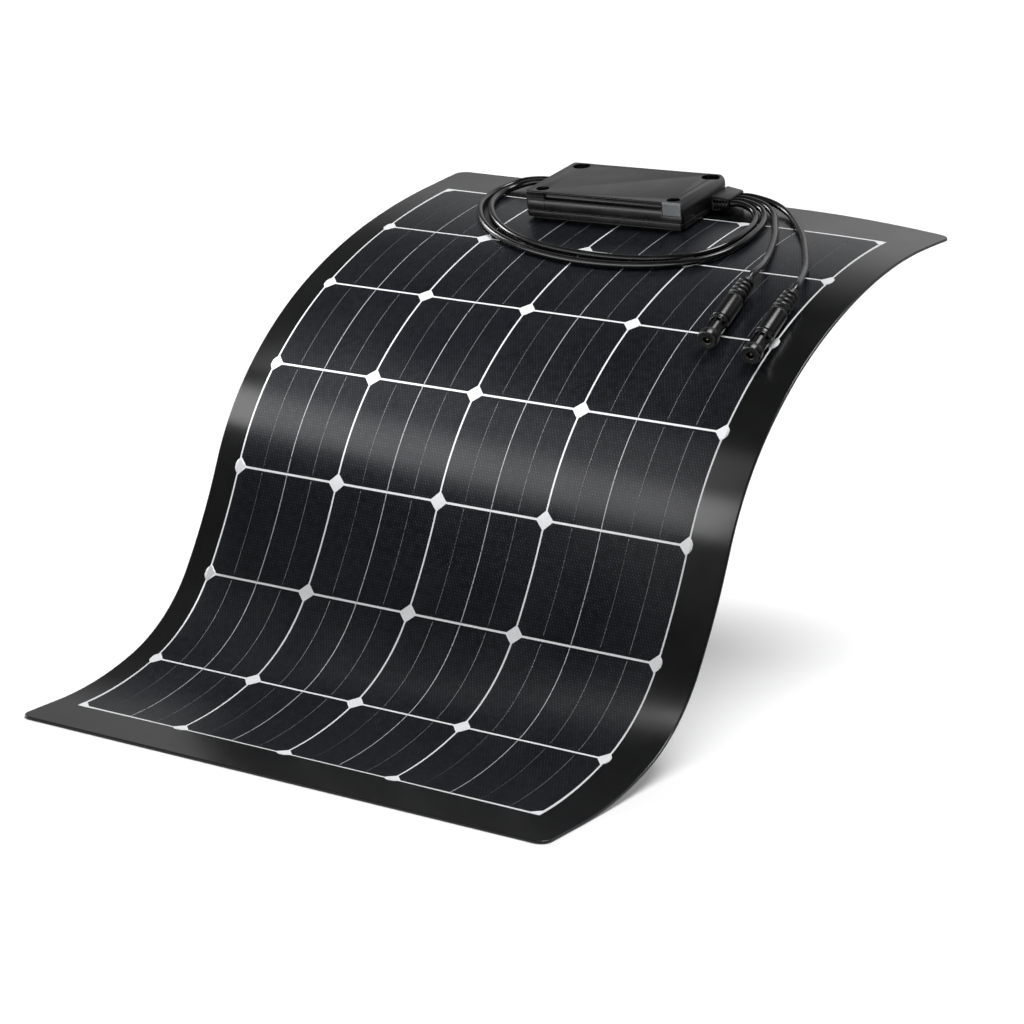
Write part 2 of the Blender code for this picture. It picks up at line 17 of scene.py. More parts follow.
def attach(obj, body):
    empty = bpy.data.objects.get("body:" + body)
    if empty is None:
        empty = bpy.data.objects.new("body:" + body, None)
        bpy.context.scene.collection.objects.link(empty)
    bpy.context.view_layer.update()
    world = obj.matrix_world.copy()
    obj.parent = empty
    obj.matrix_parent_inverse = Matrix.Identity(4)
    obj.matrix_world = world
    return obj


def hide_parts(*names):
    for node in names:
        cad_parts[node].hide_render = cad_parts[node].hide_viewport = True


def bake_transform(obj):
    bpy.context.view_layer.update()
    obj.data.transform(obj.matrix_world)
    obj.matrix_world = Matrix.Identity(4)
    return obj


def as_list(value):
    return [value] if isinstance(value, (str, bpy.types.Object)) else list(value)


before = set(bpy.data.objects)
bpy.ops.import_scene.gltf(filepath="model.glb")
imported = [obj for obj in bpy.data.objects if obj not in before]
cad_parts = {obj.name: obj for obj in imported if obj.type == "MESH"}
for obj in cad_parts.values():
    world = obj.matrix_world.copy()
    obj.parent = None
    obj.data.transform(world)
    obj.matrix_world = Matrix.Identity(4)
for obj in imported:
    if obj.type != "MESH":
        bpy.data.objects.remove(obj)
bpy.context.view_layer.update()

# ---- dimensions, in step with the model ----
COLUMN_PITCHES = (0.126, 0.126, 0.126, 0.162)
ROW_PITCH = 0.116
ROWS = 7
LEFT_BORDER, RIGHT_BORDER = 0.030, 0.044
FRONT_BORDER, TOP_BORDER = 0.056, 0.066
ROW_LINE_SLOPES = (0, 18, 57, 68, 45, 28, 16, 8)
SHEET_THICKNESS = 0.003
CORNER_RADIUS = 0.012
GAP = 0.0003
BODIES = ("front_rows", "row_2", "row_3", "row_4", "row_5", "head")

BOX_X, BOX_S = -0.044, 0.814
BOX_TURN = 3.5
BOX_LENGTH, BOX_DEPTH = 0.190, 0.110
BASE_BOTTOM, BASE_TOP = 0.0019, 0.0086
LID_BOTTOM, LID_TOP = 0.0099, 0.0299
BOX_CORNER = 0.006
WALL = 0.0025
BOSS = 0.026
SCREW_X, SCREW_Y = 0.0785, 0.043
RECESS_RADII, RECESS_FLOOR = {-1: 0.0072, 1: 0.0098}, LID_TOP - 0.0078     # front and back

CABLE_RADIUS = 0.0035
PORT_HEIGHT = 0.0115
JUMPER_PORTS_Y = (0.042, 0.033)
OUTLET_PORTS_Y = (0.017, 0.026, 0.035, 0.044)
GLAND_LENGTH = 0.022
RELIEF_LENGTH = 0.020
LYING = SHEET_THICKNESS + CABLE_RADIUS + 0.0008
STRAIGHT_RUN = 0.010

OUTER_JUMPER = ((-0.196, 0.845), (-0.2085, 0.832), (-0.213, 0.810), (-0.205, 0.772), (-0.182, 0.737),
                (-0.150, 0.708), (-0.111, 0.687), (-0.064, 0.673), (-0.012, 0.667), (0.037, 0.670),
                (0.078, 0.680), (0.110, 0.696), (0.128, 0.718), (0.134, 0.747), (0.1325, 0.774),
                (0.128, 0.799), (0.1190, 0.8215), (0.104, 0.8395))
INNER_JUMPER = ((-0.1885, 0.8365), (-0.1995, 0.8255), (-0.2025, 0.804), (-0.194, 0.776), (-0.172, 0.745),
                (-0.143, 0.719), (-0.107, 0.699), (-0.062, 0.687), (-0.011, 0.682), (0.034, 0.684),
                (0.070, 0.692), (0.099, 0.706), (0.116, 0.726), (0.1225, 0.751), (0.122, 0.776),
                (0.1185, 0.798), (0.1110, 0.8175), (0.0985, 0.8320))
LEFT_LEAD = ((0.104, 0.850), (0.1235, 0.833), (0.138, 0.810), (0.156, 0.778), (0.170, 0.746),
             (0.181, 0.716), (0.189, 0.692))
RIGHT_LEAD = ((0.108, 0.860), (0.1325, 0.846), (0.154, 0.824), (0.184, 0.786), (0.210, 0.744),
              (0.231, 0.706), (0.242, 0.680))
PORT_LIFTS = (0.0012, 0.0045)     # of a lead over the sheet, at the two points next to a port
LEAD_LIFTS = (0.0012, 0.0052)     # and at the two points next to a connector

CONNECTOR_LENGTH = 0.107
BOOT_END, HOUSING_END, FLANGE_START = 0.036, 0.073, 0.098
HOUSING_RADIUS = 0.0100
CONNECTOR_TOUCH = 0.045
CONNECTORS = {"left": (0.197, 0.617, -5.0), "right": (0.253, 0.605, -4.0)}

# ---- dimensions of the looks ----
STATION_STEP = 0.004            # along the sheet, between the edges that bend
COLUMN_STEP = 0.024             # across the sheet
LEAD_STEP = 0.003               # along a lead
ROW_GAP, COLUMN_GAP = 0.0023, 0.0019   # white lines between the cells
FIELD_MARGIN = 0.0009           # white line outside the outer cells
CHAMFER = 0.0082                # of a cell's corners
MARK_INSET = 0.0010             # of a grey mark inside the chamfers around it
MARK_SIDE, MARK_FRONT, MARK_BACK = 0.0020, 0.0016, 0.0012   # its reach beyond the cell field
WHITE_TOP, CELL_TOP, LINE_TOP = 0.00306, 0.00316, 0.00320
FILM_HEIGHT = 0.0027            # above it the skin shows the front film, below it the back sheet
FOOT = 0.00002                  # how far a thin layer reaches into the one below
CELL_EDGE, RIM_DROP = 0.0005, 0.00003      # width and fall of a cell's sloping rim
SEAM_HALF_WIDTHS = (0.00048, 0.00036, 0.00042)     # strong, medium and faint
DROOP = 0.012                   # of the top right corner
BLEND_MARGIN = 0.006            # at each end of a strip
SIDE_ROLL = (0.0125, 0.0115)    # width and height of the roll on the lid's right side
BEYOND = 0.001                  # how far a cutting shape goes past what it cuts
ABOVE_LID = 0.034               # where a shape that cuts the lid's top or a screw ends
CATCH_IN = 0.013                # from the lid's right end to the middle of the catch
SCREW_SIDES = ((-1, -1), (1, -1), (1, 1), (-1, 1))
NUT_RIBS, WINDOW_DEPTH = 9, 0.0025


# ---- places ----
def profile(s):
    """Depth, height and slope of the back face at s. Each row is one arc; borders are straight."""
    slopes = [radians(a) for a in ROW_LINE_SLOPES]
    depth, height = FRONT_BORDER / 2, 0.0
    if s <= 0:
        return depth + s, height, slopes[0]
    left = s
    for first, last in zip(slopes, slopes[1:]):
        length = min(left, ROW_PITCH)
        end = first + (last - first) * length / ROW_PITCH
        depth += length * (sin(end) - sin(first)) / (end - first)
        height += length * (cos(first) - cos(end)) / (end - first)
        left -= length
        if left < 1e-9:
            return depth, height, end
    return depth + left * cos(slopes[-1]), height + left * sin(slopes[-1]), slopes[-1]


COLUMN_LINES = [-(sum(COLUMN_PITCHES) + LEFT_BORDER + RIGHT_BORDER) / 2 + LEFT_BORDER]
for pitch in COLUMN_PITCHES:
    COLUMN_LINES.append(COLUMN_LINES[-1] + pitch)
SHEET_LEFT = COLUMN_LINES[0] - LEFT_BORDER
SHEET_RIGHT = COLUMN_LINES[-1] + RIGHT_BORDER
SHEET_TOP = ROWS * ROW_PITCH + TOP_BORDER


def clamp(value):
    return min(1.0, max(0.0, value))


def corner_droop(x, s):
    """How far the top right corner hangs below the sheet's own curve."""
    across = clamp((x - 0.10) / (SHEET_RIGHT - 0.10))
    along = clamp((s - 0.70) / (SHEET_TOP - 0.70))
    return DROOP * across ** 2 * along ** 2


def sheet_point(x, s, d=0.0):
    """The place (x, s, d) of the sheet, in the frame of the model."""
    depth, height, slope = profile(s)
    return Vector((x, depth - sin(slope) * d, height + cos(slope) * d - corner_droop(x, s)))


def sheet_frame(x, s, d, turn=0.0):
    """Axes of a thing that lies on the sheet: X across, Y up the sheet, Z off it."""
    slope = profile(s)[2]
    return (Matrix.Translation(sheet_point(x, s, d)) @ Matrix.Rotation(slope, 4, 'X')
            @ Matrix.Rotation(radians(turn), 4, 'Z'))


BOX_FRAME = sheet_frame(BOX_X, BOX_S, SHEET_THICKNESS, BOX_TURN)
ALONG_X = Matrix(((0, 0, 1), (1, 0, 0), (0, 1, 0))).to_4x4()     # outline (y, z), length along X
ALONG_Y = Matrix(((1, 0, 0), (0, 0, 1), (0, 1, 0))).to_4x4()     # outline (x, z), length along Y
AGAINST_Y = Matrix(((1, 0, 0), (0, 0, -1), (0, 1, 0))).to_4x4()  # outline (x, z), length along -Y


def port(side, y, out):
    """A point in front of a cable port of the box: side -1 is left, 1 is right."""
    reach = BOX_LENGTH / 2 + (GLAND_LENGTH if side < 0 else RELIEF_LENGTH)
    return BOX_FRAME @ Vector((side * (reach + out), y, PORT_HEIGHT))


def connector_frame(x, s, turn):
    """Z runs along the connector, from the boot's tail to the open end; -Y is off the sheet."""
    touch = sheet_frame(x, s, SHEET_THICKNESS + GAP + HOUSING_RADIUS, -turn)
    return touch @ Matrix.Rotation(pi / 2, 4, 'X') @ Matrix.Translation((0, 0, -CONNECTOR_TOUCH))


def smooth_curve(points, spacing):
    """Points at an even spacing along the centripetal Catmull-Rom curve through the route."""
    ends = [points[0] * 2 - points[1]] + list(points) + [points[-1] * 2 - points[-2]]
    fine = []
    for a, b, c, d in zip(ends, ends[1:], ends[2:], ends[3:]):
        t1 = sqrt((b - a).length)
        t2 = t1 + sqrt((c - b).length)
        t3 = t2 + sqrt((d - c).length)
        for step in range(24):
            t = t1 + (t2 - t1) * step / 24
            a1 = a.lerp(b, t / t1)
            a2 = b.lerp(c, (t - t1) / (t2 - t1))
            a3 = c.lerp(d, (t - t2) / (t3 - t2))
            b1 = a1.lerp(a2, t / t2)
            b2 = a2.lerp(a3, (t - t1) / (t3 - t1))
            fine.append(b1.lerp(b2, (t - t1) / (t2 - t1)))
    fine.append(points[-1])
    length = sum((q - p).length for p, q in zip(fine, fine[1:]))
    count = max(2, round(length / spacing))
    even, travelled, target = [fine[0]], 0.0, length / count
    for p, q in zip(fine, fine[1:]):
        step = (q - p).length
        while travelled + step >= target and len(even) < count:
            even.append(p.lerp(q, (target - travelled) / step))
            target += length / count
        travelled += step
    even.append(fine[-1])
    return even


# ---- materials ----
class Nodes:
    """Short ways to add and link nodes."""

    def __init__(self, tree):
        self.nodes, self.links = tree.nodes, tree.links

    def link(self, output, target):
        self.links.new(output, target)

    def node(self, kind, **settings):
        made = self.nodes.new(kind)
        for key, value in settings.items():
            setattr(made, key, value)
        return made

    def feed(self, socket, value):
        """Links an output, or sets a number or colour."""
        if isinstance(value, bpy.types.NodeSocket):
            self.link(value, socket)
        else:
            socket.default_value = value

    def math(self, operation, *values):
        made = self.node('ShaderNodeMath', operation=operation)
        for socket, value in zip(made.inputs, values):
            self.feed(socket, value)
        return made.outputs[0]

    def ramp(self, value, low, high, start=0.0, end=1.0):
        made = self.node('ShaderNodeMapRange')
        self.link(value, made.inputs['Value'])
        for socket, number in zip(('From Min', 'From Max', 'To Min', 'To Max'), (start, end, low, high)):
            made.inputs[socket].default_value = number
        return made.outputs['Result']


class Finish(Nodes):
    """A Principled material and short ways to feed its sockets."""

    def __init__(self, name, color, roughness, metallic=0.0, specular=0.5):
        self.mat = bpy.data.materials.new(name)
        self.mat.use_nodes = True
        super().__init__(self.mat.node_tree)
        self.shader = self.nodes['Principled BSDF']
        self.set('Base Color', (*color, 1.0))
        self.set('Roughness', roughness)
        self.set('Metallic', metallic)
        self.set('Specular IOR Level', specular)
        self.mat.diffuse_color = (*color, 1.0)

    def set(self, socket, value):
        self.shader.inputs[socket].default_value = value

    def coordinates(self, output='Object', scale=(1, 1, 1)):
        source = self.node('ShaderNodeTexCoord')
        mapping = self.node('ShaderNodeMapping')
        mapping.inputs['Scale'].default_value = scale
        self.link(source.outputs[output], mapping.inputs['Vector'])
        return mapping.outputs['Vector']

    def noise(self, scale, detail=3.0, roughness=0.5, vector=None):
        made = self.node('ShaderNodeTexNoise')
        made.inputs['Scale'].default_value = scale
        made.inputs['Detail'].default_value = detail
        made.inputs['Roughness'].default_value = roughness
        self.link(vector or self.coordinates(), made.inputs['Vector'])
        return made.outputs['Fac']

    def wave(self, vector, axis, length):
        """Cosine of the given length along one axis of a vector."""
        parts = self.node('ShaderNodeSeparateXYZ')
        self.link(vector, parts.inputs[0])
        return self.math('COSINE', self.math('MULTIPLY', parts.outputs[axis], 2 * pi / length))

    def mix(self, factor, first, second):
        made = self.node('ShaderNodeMix', data_type='RGBA')
        self.link(factor, made.inputs['Factor'])
        for socket, value in zip((made.inputs[6], made.inputs[7]), (first, second)):
            self.feed(socket, (*value, 1.0) if isinstance(value, tuple) else value)
        return made.outputs[2]

    def color(self, output):
        self.link(output, self.shader.inputs['Base Color'])

    def tones(self, value, start, end, first, second):
        """Colour from first to second as value goes from start to end."""
        self.color(self.mix(self.ramp(value, 0.0, 1.0, start, end), first, second))

    def rough(self, value, low, high, start=0.3, end=0.7):
        self.link(self.ramp(value, low, high, start, end), self.shader.inputs['Roughness'])

    def bump(self, height, distance, strength=1.0):
        made = self.node('ShaderNodeBump')
        made.inputs['Distance'].default_value = distance
        made.inputs['Strength'].default_value = strength
        self.link(height, made.inputs['Height'])
        last = self.shader.inputs['Normal'].links
        if last:
            self.link(last[0].from_socket, made.inputs['Normal'])
        self.link(made.outputs['Normal'], self.shader.inputs['Normal'])


def moulded(name, color, roughness, grain=900.0, depth=0.00003, specular=0.5, metallic=0.0):
    """Moulded plastic, rubber or metal: fine grain, with soft blotches in its gloss and tone."""
    finish = Finish(name, color, roughness, metallic, specular)
    blotches = finish.noise(35.0, 4.0)
    lighter = tuple(min(1.0, c * 1.5 + 0.002) for c in color)
    finish.tones(blotches, 0.35, 0.7, color, lighter)
    finish.rough(blotches, roughness - 0.04, roughness + 0.06)
    finish.bump(finish.noise(grain, 2.0), depth, 0.5)
    return finish.mat


def border_film():
    """Satin black front film: a fine pressed grain and a faint waviness of the laminate."""
    finish = Finish('satin_black_film', (0.002, 0.0022, 0.0024), 0.26, specular=0.75)
    across = finish.coordinates('UV')
    tone = finish.noise(18.0, 3.0, 0.5, across)
    finish.tones(tone, 0.3, 0.75, (0.0012, 0.0014, 0.0016), (0.0026, 0.0029, 0.0032))
    finish.rough(tone, 0.22, 0.27)
    finish.bump(finish.noise(7.0, 2.0, 0.5, across), 0.0006, 0.35)
    finish.bump(finish.noise(1500.0, 2.0, 0.6, across), 0.00002, 0.35)
    return finish.mat


def cell_face():
    """Dark blue cell under an embossed film: rows of small round dimples, faint specks, soft waves."""
    pitch, row = 0.0033, 0.0030      # of the staggered dimples
    finish = Finish('dark_blue_cell', (0.004, 0.005, 0.009), 0.36, specular=0.42)
    across = finish.coordinates('UV')
    product = finish.math('MULTIPLY', finish.wave(across, 0, pitch), finish.wave(across, 1, 2 * row))
    dots = finish.ramp(product, 0.0, 1.0, 0.25, 1.0)
    uneven = finish.ramp(finish.noise(150.0, 3.0, 0.6, across), 0.0, 1.0, 0.36, 0.62)
    tone = finish.node('ShaderNodeAttribute', attribute_name='tone')
    base = finish.mix(tone.outputs['Fac'], (0.0008, 0.0010, 0.0020), (0.0014, 0.0018, 0.0034))
    dot_color = finish.math('MULTIPLY', dots, uneven)
    spotted = finish.mix(dot_color, base, (0.048, 0.058, 0.084))
    specks = finish.node('ShaderNodeTexVoronoi', feature='F1')
    specks.inputs['Scale'].default_value = 95.0
    finish.link(across, specks.inputs['Vector'])
    speck = finish.ramp(specks.outputs['Distance'], 1.0, 0.0, 0.0, 0.055)
    finish.color(finish.mix(finish.math('MULTIPLY', speck, 0.35), spotted, (0.12, 0.125, 0.14)))
    finish.rough(finish.noise(14.0, 3.0, 0.5, across), 0.29, 0.36)
    finish.bump(finish.noise(9.0, 2.0, 0.5, across), 0.0006, 0.35)
    finish.bump(product, 0.00004, 0.4)
    return finish.mat


def printed(name, color, roughness, scale, detail, grain, span, first, second, stretch=1.0):
    """A thin flat layer whose tone goes from first to second with a fine noise."""
    finish = Finish(name, color, roughness)
    across = finish.coordinates('UV', (1.0, stretch, 1.0))
    finish.tones(finish.noise(scale, detail, grain, across), *span, first, second)
    return finish


def white_reflector():
    finish = printed('white_reflector', (0.80, 0.81, 0.84), 0.42, 400.0, 3.0, 0.6, (0.3, 0.7),
                     (0.84, 0.85, 0.87), (0.92, 0.925, 0.94))
    finish.bump(finish.noise(700.0, 2.0, 0.5, finish.coordinates('UV')), 0.00004, 0.4)
    return finish.mat


def cell_seam(name, color, breaks):
    """The fine light lines along the cells; breaks is the share of the line that is worn away."""
    span = (0.30 + 0.4 * breaks, 0.42 + 0.4 * breaks)
    return printed(name, color, 0.45, 520.0, 2.0, 0.5, span, (0.008, 0.009, 0.014), color, 0.35).mat


def dotted_seam():
    """The faintest line along the cells: a row of small light dashes."""
    finish = Finish('dotted_cell_seam', (0.06, 0.065, 0.075), 0.40)
    across = finish.coordinates('UV')
    dashes = finish.ramp(finish.wave(across, 1, 0.0034), 0.0, 1.0, -0.2, 0.5)
    uneven = finish.ramp(finish.noise(160.0, 2.0, 0.5, across), 0.0, 1.0, 0.35, 0.65)
    finish.color(finish.mix(finish.math('MULTIPLY', dashes, uneven), (0.004, 0.005, 0.008),
                            (0.10, 0.11, 0.13)))
    return finish.mat


def grey_mark():
    """The marks where four cells meet: a slightly greyer white than the lines."""
    return printed('light_grey_mark', (0.66, 0.67, 0.69), 0.45, 600.0, 2.0, 0.5, (0.3, 0.7),
                   (0.82, 0.83, 0.85), (0.88, 0.89, 0.91)).mat


def cable_jacket():
    """Extruded jacket: satin, with a very fine grain and soft blotches in its gloss."""
    finish = Finish('cable_jacket', (0.010, 0.010, 0.011), 0.30, specular=0.6)
    spots = finish.noise(60.0, 4.0)
    finish.tones(spots, 0.4, 0.75, (0.0030, 0.0030, 0.0034), (0.0065, 0.0065, 0.0070))
    finish.rough(spots, 0.20, 0.28, 0.35, 0.7)
    finish.bump(finish.noise(2200.0, 2.0), 0.00002, 0.3)
    return finish.mat


FILM = border_film()
BACK = moulded('matt_black_back_sheet', (0.0045, 0.0045, 0.0050), 0.45, 1400.0, 0.00003, 0.35)
WHITE = white_reflector()
MARK = grey_mark()
CELL = cell_face()
STRONG_SEAM = cell_seam('bright_cell_seam', (0.40, 0.41, 0.43), 0.0)
MEDIUM_SEAM = cell_seam('soft_cell_seam', (0.11, 0.115, 0.13), 0.2)
FAINT_SEAM = dotted_seam()
PLASTIC = moulded('black_moulded_plastic', (0.0035, 0.0035, 0.0040), 0.27, 1100.0, 0.00001, 0.45)
# lighter, rougher copy of the black plastic for the lid's top faces: painted sheen
LID_TOP_PAINTED_SHEEN = moulded('lid_top_painted_sheen', (0.010, 0.010, 0.0105), 0.38, 1300.0, 0.00002, 0.6)
RUBBER = moulded('black_rubber', (0.0045, 0.0045, 0.0050), 0.33, 1500.0, 0.00002, 0.5)
CATCH = moulded('grey_catch', (0.13, 0.14, 0.145), 0.32, 900.0, 0.00001, 0.6)
STEEL = moulded('dark_steel', (0.30, 0.30, 0.31), 0.30, 800.0, 0.00001, 0.5, 1.0)
BRASS = moulded('brass', (0.72, 0.56, 0.30), 0.28, 800.0, 0.00001, 0.5, 1.0)
COPPER = moulded('tinned_copper', (0.70, 0.68, 0.64), 0.30, 800.0, 0.00001, 0.5, 1.0)
JACKET = cable_jacket()


# ---- mesh helpers ----
def add_object(name, data):
    thing = bpy.data.objects.new(name, data)
    bpy.context.scene.collection.objects.link(thing)
    return thing


def add_piece(name, mesh, materials, place=None):
    for mat in materials:
        mesh.materials.append(mat)
    thing = add_object(name, mesh)
    if place is not None:
        thing.matrix_world = place
    return thing


def raw_mesh(bm, name):
    mesh = bpy.data.meshes.new(name)
    bm.to_mesh(mesh)
    bm.free()
    return mesh


def shade(mesh, angle):
    """Smooth shading, with edges above the angle kept sharp. Angle 0 keeps none."""
    mesh.shade_smooth()
    if angle:
        mesh.set_sharp_from_angle(angle=radians(angle))


def mesh_from(bm, name, smooth=35, flip=True):
    if flip:
        bmesh.ops.recalc_face_normals(bm, faces=bm.faces)
    mesh = raw_mesh(bm, name)
    shade(mesh, smooth)
    return mesh


def settle(thing, body, slot, *nodes):
    """Rides its body and stands for the CAD nodes it shows, which it hides. The slot is not used."""
    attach(thing, body)
    if nodes:
        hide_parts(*nodes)
    return thing


def rounded_rectangle(x0, y0, x1, y1, radii, steps=8):
    """One radius, or four in the order lower left, lower right, upper right, upper left."""
    points = []
    if isinstance(radii, float):
        radii = [radii] * 4
    corners = ((x0, y0, 1, 1), (x1, y0, -1, 1), (x1, y1, -1, -1), (x0, y1, 1, -1))
    for k, ((x, y, sx, sy), r) in enumerate(zip(corners, radii)):
        start = pi + k * pi / 2
        for j in range(steps + 1):
            a = start + j * pi / 2 / steps
            points.append((x + sx * r + r * cos(a), y + sy * r + r * sin(a)))
    return points


def oval(width, height, steps=12):
    """An outline with straight long sides and round ends."""
    r = height / 2
    c = width / 2 - r
    right = [(c + r * sin(pi * k / steps), -r * cos(pi * k / steps)) for k in range(steps + 1)]
    return right + [(-x, -y) for x, y in right]


def band(bm, low, high):
    """Faces between two rings of vertices."""
    turned = zip(low, low[1:] + low[:1], high[1:] + high[:1], high)
    return [bm.faces.new(corners) for corners in turned]


def loft(rings):
    """A closed solid through rings of equally many points (Vectors)."""
    bm = bmesh.new()
    made = [[bm.verts.new(p) for p in ring] for ring in rings]
    for low, high in zip(made, made[1:]):
        band(bm, low, high)
    bm.faces.new(made[0])
    bm.faces.new(made[-1])
    return bm


def edge_steps(radius, steps=4):
    """(inset, drop) pairs of a quarter round, from the flat to the side, with a holding ring."""
    pairs = [(radius * 1.6, 0.0)]
    for k in range(steps + 1):
        a = pi / 2 * k / steps
        pairs.append((radius * (1 - sin(a)), radius * (1 - cos(a))))
    return pairs


def soft_slab(outline, low, high, bottom_edge, top_edge):
    """A solid with rounded edges; outline(inset) gives its plan, low and high its faces."""
    rings = []
    for inset, drop in edge_steps(bottom_edge):
        rings.append([Vector((x, y, low + drop)) for x, y in outline(inset)])
    for inset, drop in reversed(edge_steps(top_edge)):
        rings.append([Vector((x, y, high - drop)) for x, y in outline(inset)])
    return loft(rings)


def fillet(points, radius, steps=4):
    """A (radius, z) outline with its corners rounded."""
    smooth = [points[0]]
    for before, corner, after in zip(points, points[1:], points[2:]):
        a, b, c = Vector(before), Vector(corner), Vector(after)
        reach = min(radius, (a - b).length * 0.45, (c - b).length * 0.45)
        start, end = b + (a - b).normalized() * reach, b + (c - b).normalized() * reach
        for k in range(steps + 1):
            t = k / steps
            p = start * (1 - t) ** 2 + b * 2 * t * (1 - t) + end * t ** 2
            smooth.append((p.x, p.y))
    return smooth + [points[-1]]


def turned_mesh(name, outline, segments=72, smooth=35):
    """A body of revolution about Z from its (radius, z) outline."""
    bm = bmesh.new()
    rings = []
    for radius, z in outline:
        count = segments if radius > 1e-7 else 1
        angles = [2 * pi * k / count for k in range(count)]
        rings.append([bm.verts.new((radius * cos(a), radius * sin(a), z)) for a in angles])
    for low, high in zip(rings, rings[1:]):
        for k in range(segments):
            n = (k + 1) % segments
            corners = [low[k % len(low)], low[n % len(low)], high[n % len(high)], high[k % len(high)]]
            bm.faces.new(list(dict.fromkeys(corners)))
    return mesh_from(bm, name, smooth)


def prism(outline, low, high, place=Matrix()):
    """A solid with a flat outline, from low to high along its own Z, moved by place."""
    bm = loft([[place @ Vector((x, y, z)) for x, y in outline] for z in (low, high)])
    bmesh.ops.recalc_face_normals(bm, faces=bm.faces)
    return bm


def rectangle(width, depth, x=0.0, y=0.0):
    w, h = width / 2, depth / 2
    return [(x - w, y - h), (x + w, y - h), (x + w, y + h), (x - w, y + h)]


def combine(thing, operation, bm):
    """Applies a Boolean with a shape that is thrown away afterwards."""
    mesh = raw_mesh(bm, 'tool')
    tool = add_object('tool', mesh)
    tool.matrix_world = thing.matrix_world
    mod = thing.modifiers.new('combine', 'BOOLEAN')
    mod.operation = operation
    mod.solver = 'EXACT'
    mod.object = tool
    apply_modifiers(thing)
    bpy.data.objects.remove(tool, do_unlink=True)
    bpy.data.meshes.remove(mesh)


def cut(thing, bm):
    combine(thing, 'DIFFERENCE', bm)


def apply_modifiers(thing):
    bpy.context.view_layer.update()
    graph = bpy.context.evaluated_depsgraph_get()
    made = bpy.data.meshes.new_from_object(thing.evaluated_get(graph), depsgraph=graph)
    thing.modifiers.clear()
    old = thing.data
    thing.data = made
    bpy.data.meshes.remove(old)


def soften(thing, width, segments=2, angle=30, smooth=35):
    """Rounds a piece's sharp edges a little, so that they catch the light."""
    bm = bmesh.new()
    bm.from_mesh(thing.data)
    bmesh.ops.remove_doubles(bm, verts=bm.verts, dist=2e-6)
    bmesh.ops.dissolve_limit(bm, angle_limit=radians(0.5), verts=bm.verts, edges=bm.edges)
    bm.to_mesh(thing.data)
    bm.free()
    mod = thing.modifiers.new('edges', 'BEVEL')
    mod.width = width
    mod.segments = segments
    mod.limit_method = 'ANGLE'
    mod.angle_limit = radians(angle)
    mod.use_clamp_overlap = True
    apply_modifiers(thing)
    shade(thing.data, smooth)


# ---- camera ----
def make_camera():
    data = bpy.data.cameras.new('camera')
    data.lens = 112.5
    data.sensor_width = 36.0
    camera = add_object('camera', data)
    camera.location = (1.7426, -2.2131, 1.0235)
    down, turned = 15.416, 33.938
    camera.rotation_euler = (radians(90.0 - down), 0.0, radians(turned))
    bpy.context.scene.camera = camera


# ---- leads ----
def lead_points(start_side, start_y, route, end, lifts=PORT_LIFTS):
    """A lead's route: straight out of its port, down onto the sheet, along it and to its end.

    lifts is how far the lead has left the sheet at the last two points of its route.
    """
    points = [port(start_side, start_y, GAP), port(start_side, start_y, STRAIGHT_RUN)]
    heights = [*reversed(PORT_LIFTS), *[0.0] * (len(route) - 4), *lifts]
    points += [sheet_point(x, s, LYING + height) for (x, s), height in zip(route, heights)]
    return points + end


def jumper_end(y):
    """Last points of a lead that goes into the strain relief."""
    return [port(1, y, STRAIGHT_RUN), port(1, y, GAP)]


def connector_end(place):
    """Last points of a lead that goes into a connector's boot."""
    tail = connector_frame(*place)
    return [tail @ Vector((0, 0, -STRAIGHT_RUN)), tail @ Vector((0, 0, -GAP))]


def make_lead(name, points):
    """A jacket round the smooth curve through the points. Gives the lead and its length."""
    data = bpy.data.curves.new(name, 'CURVE')
    data.dimensions = '3D'
    data.bevel_depth = CABLE_RADIUS
    data.bevel_resolution = 7
    data.use_fill_caps = True
    data.resolution_u = 1
    data.materials.append(JACKET)
    spline = data.splines.new('POLY')
    even = smooth_curve(points, LEAD_STEP)
    spline.points.add(len(even) - 1)
    for target, point in zip(spline.points, even):
        target.co = (*point, 1.0)
    spline.use_smooth = True
    lead = add_object(f'{name}_jacket', data)
    settle(lead, 'head', 'cable_jacket', name)
    return lead, sum((q - p).length for p, q in zip(even, even[1:]))


def make_leads():
    outer, inner = JUMPER_PORTS_Y
    inner_end, outer_end, left, right = OUTLET_PORTS_Y
    routes = {
        'jumper_lead_outer': lead_points(-1, outer, OUTER_JUMPER, jumper_end(outer_end)),
        'jumper_lead_inner': lead_points(-1, inner, INNER_JUMPER, jumper_end(inner_end)),
        'output_lead_left': lead_points(1, left, LEFT_LEAD, connector_end(CONNECTORS['left']),
                                        LEAD_LIFTS),
        'output_lead_right': lead_points(1, right, RIGHT_LEAD, connector_end(CONNECTORS['right']),
                                        LEAD_LIFTS),
    }
    return {name: (points[0], *make_lead(name, points)) for name, points in routes.items()}


# ---- the sheet ----
STRIP_ENDS = [-FRONT_BORDER] + [(k + 0.5) * ROW_PITCH for k in range(len(BODIES))] + [SHEET_TOP]
SHEET_EDGE = [(0.0014, 0.0030), (0.0008, 0.0030), (0.0004, 0.00289), (0.0001, 0.0026), (0.0, 0.0022),
              (0.0, 0.0008), (0.0001, 0.0004), (0.0004, 0.00011), (0.0008, 0.0), (0.0014, 0.0)]


def sheet_outline(inset):
    """Plan (x, s) of the whole sheet, moved in by inset."""
    return rounded_rectangle(SHEET_LEFT + inset, -FRONT_BORDER + inset, SHEET_RIGHT - inset,
                             SHEET_TOP - inset, CORNER_RADIUS - inset)


def flat_slab():
    return loft([[Vector((x, s, d)) for x, s in sheet_outline(inset)] for inset, d in SHEET_EDGE])


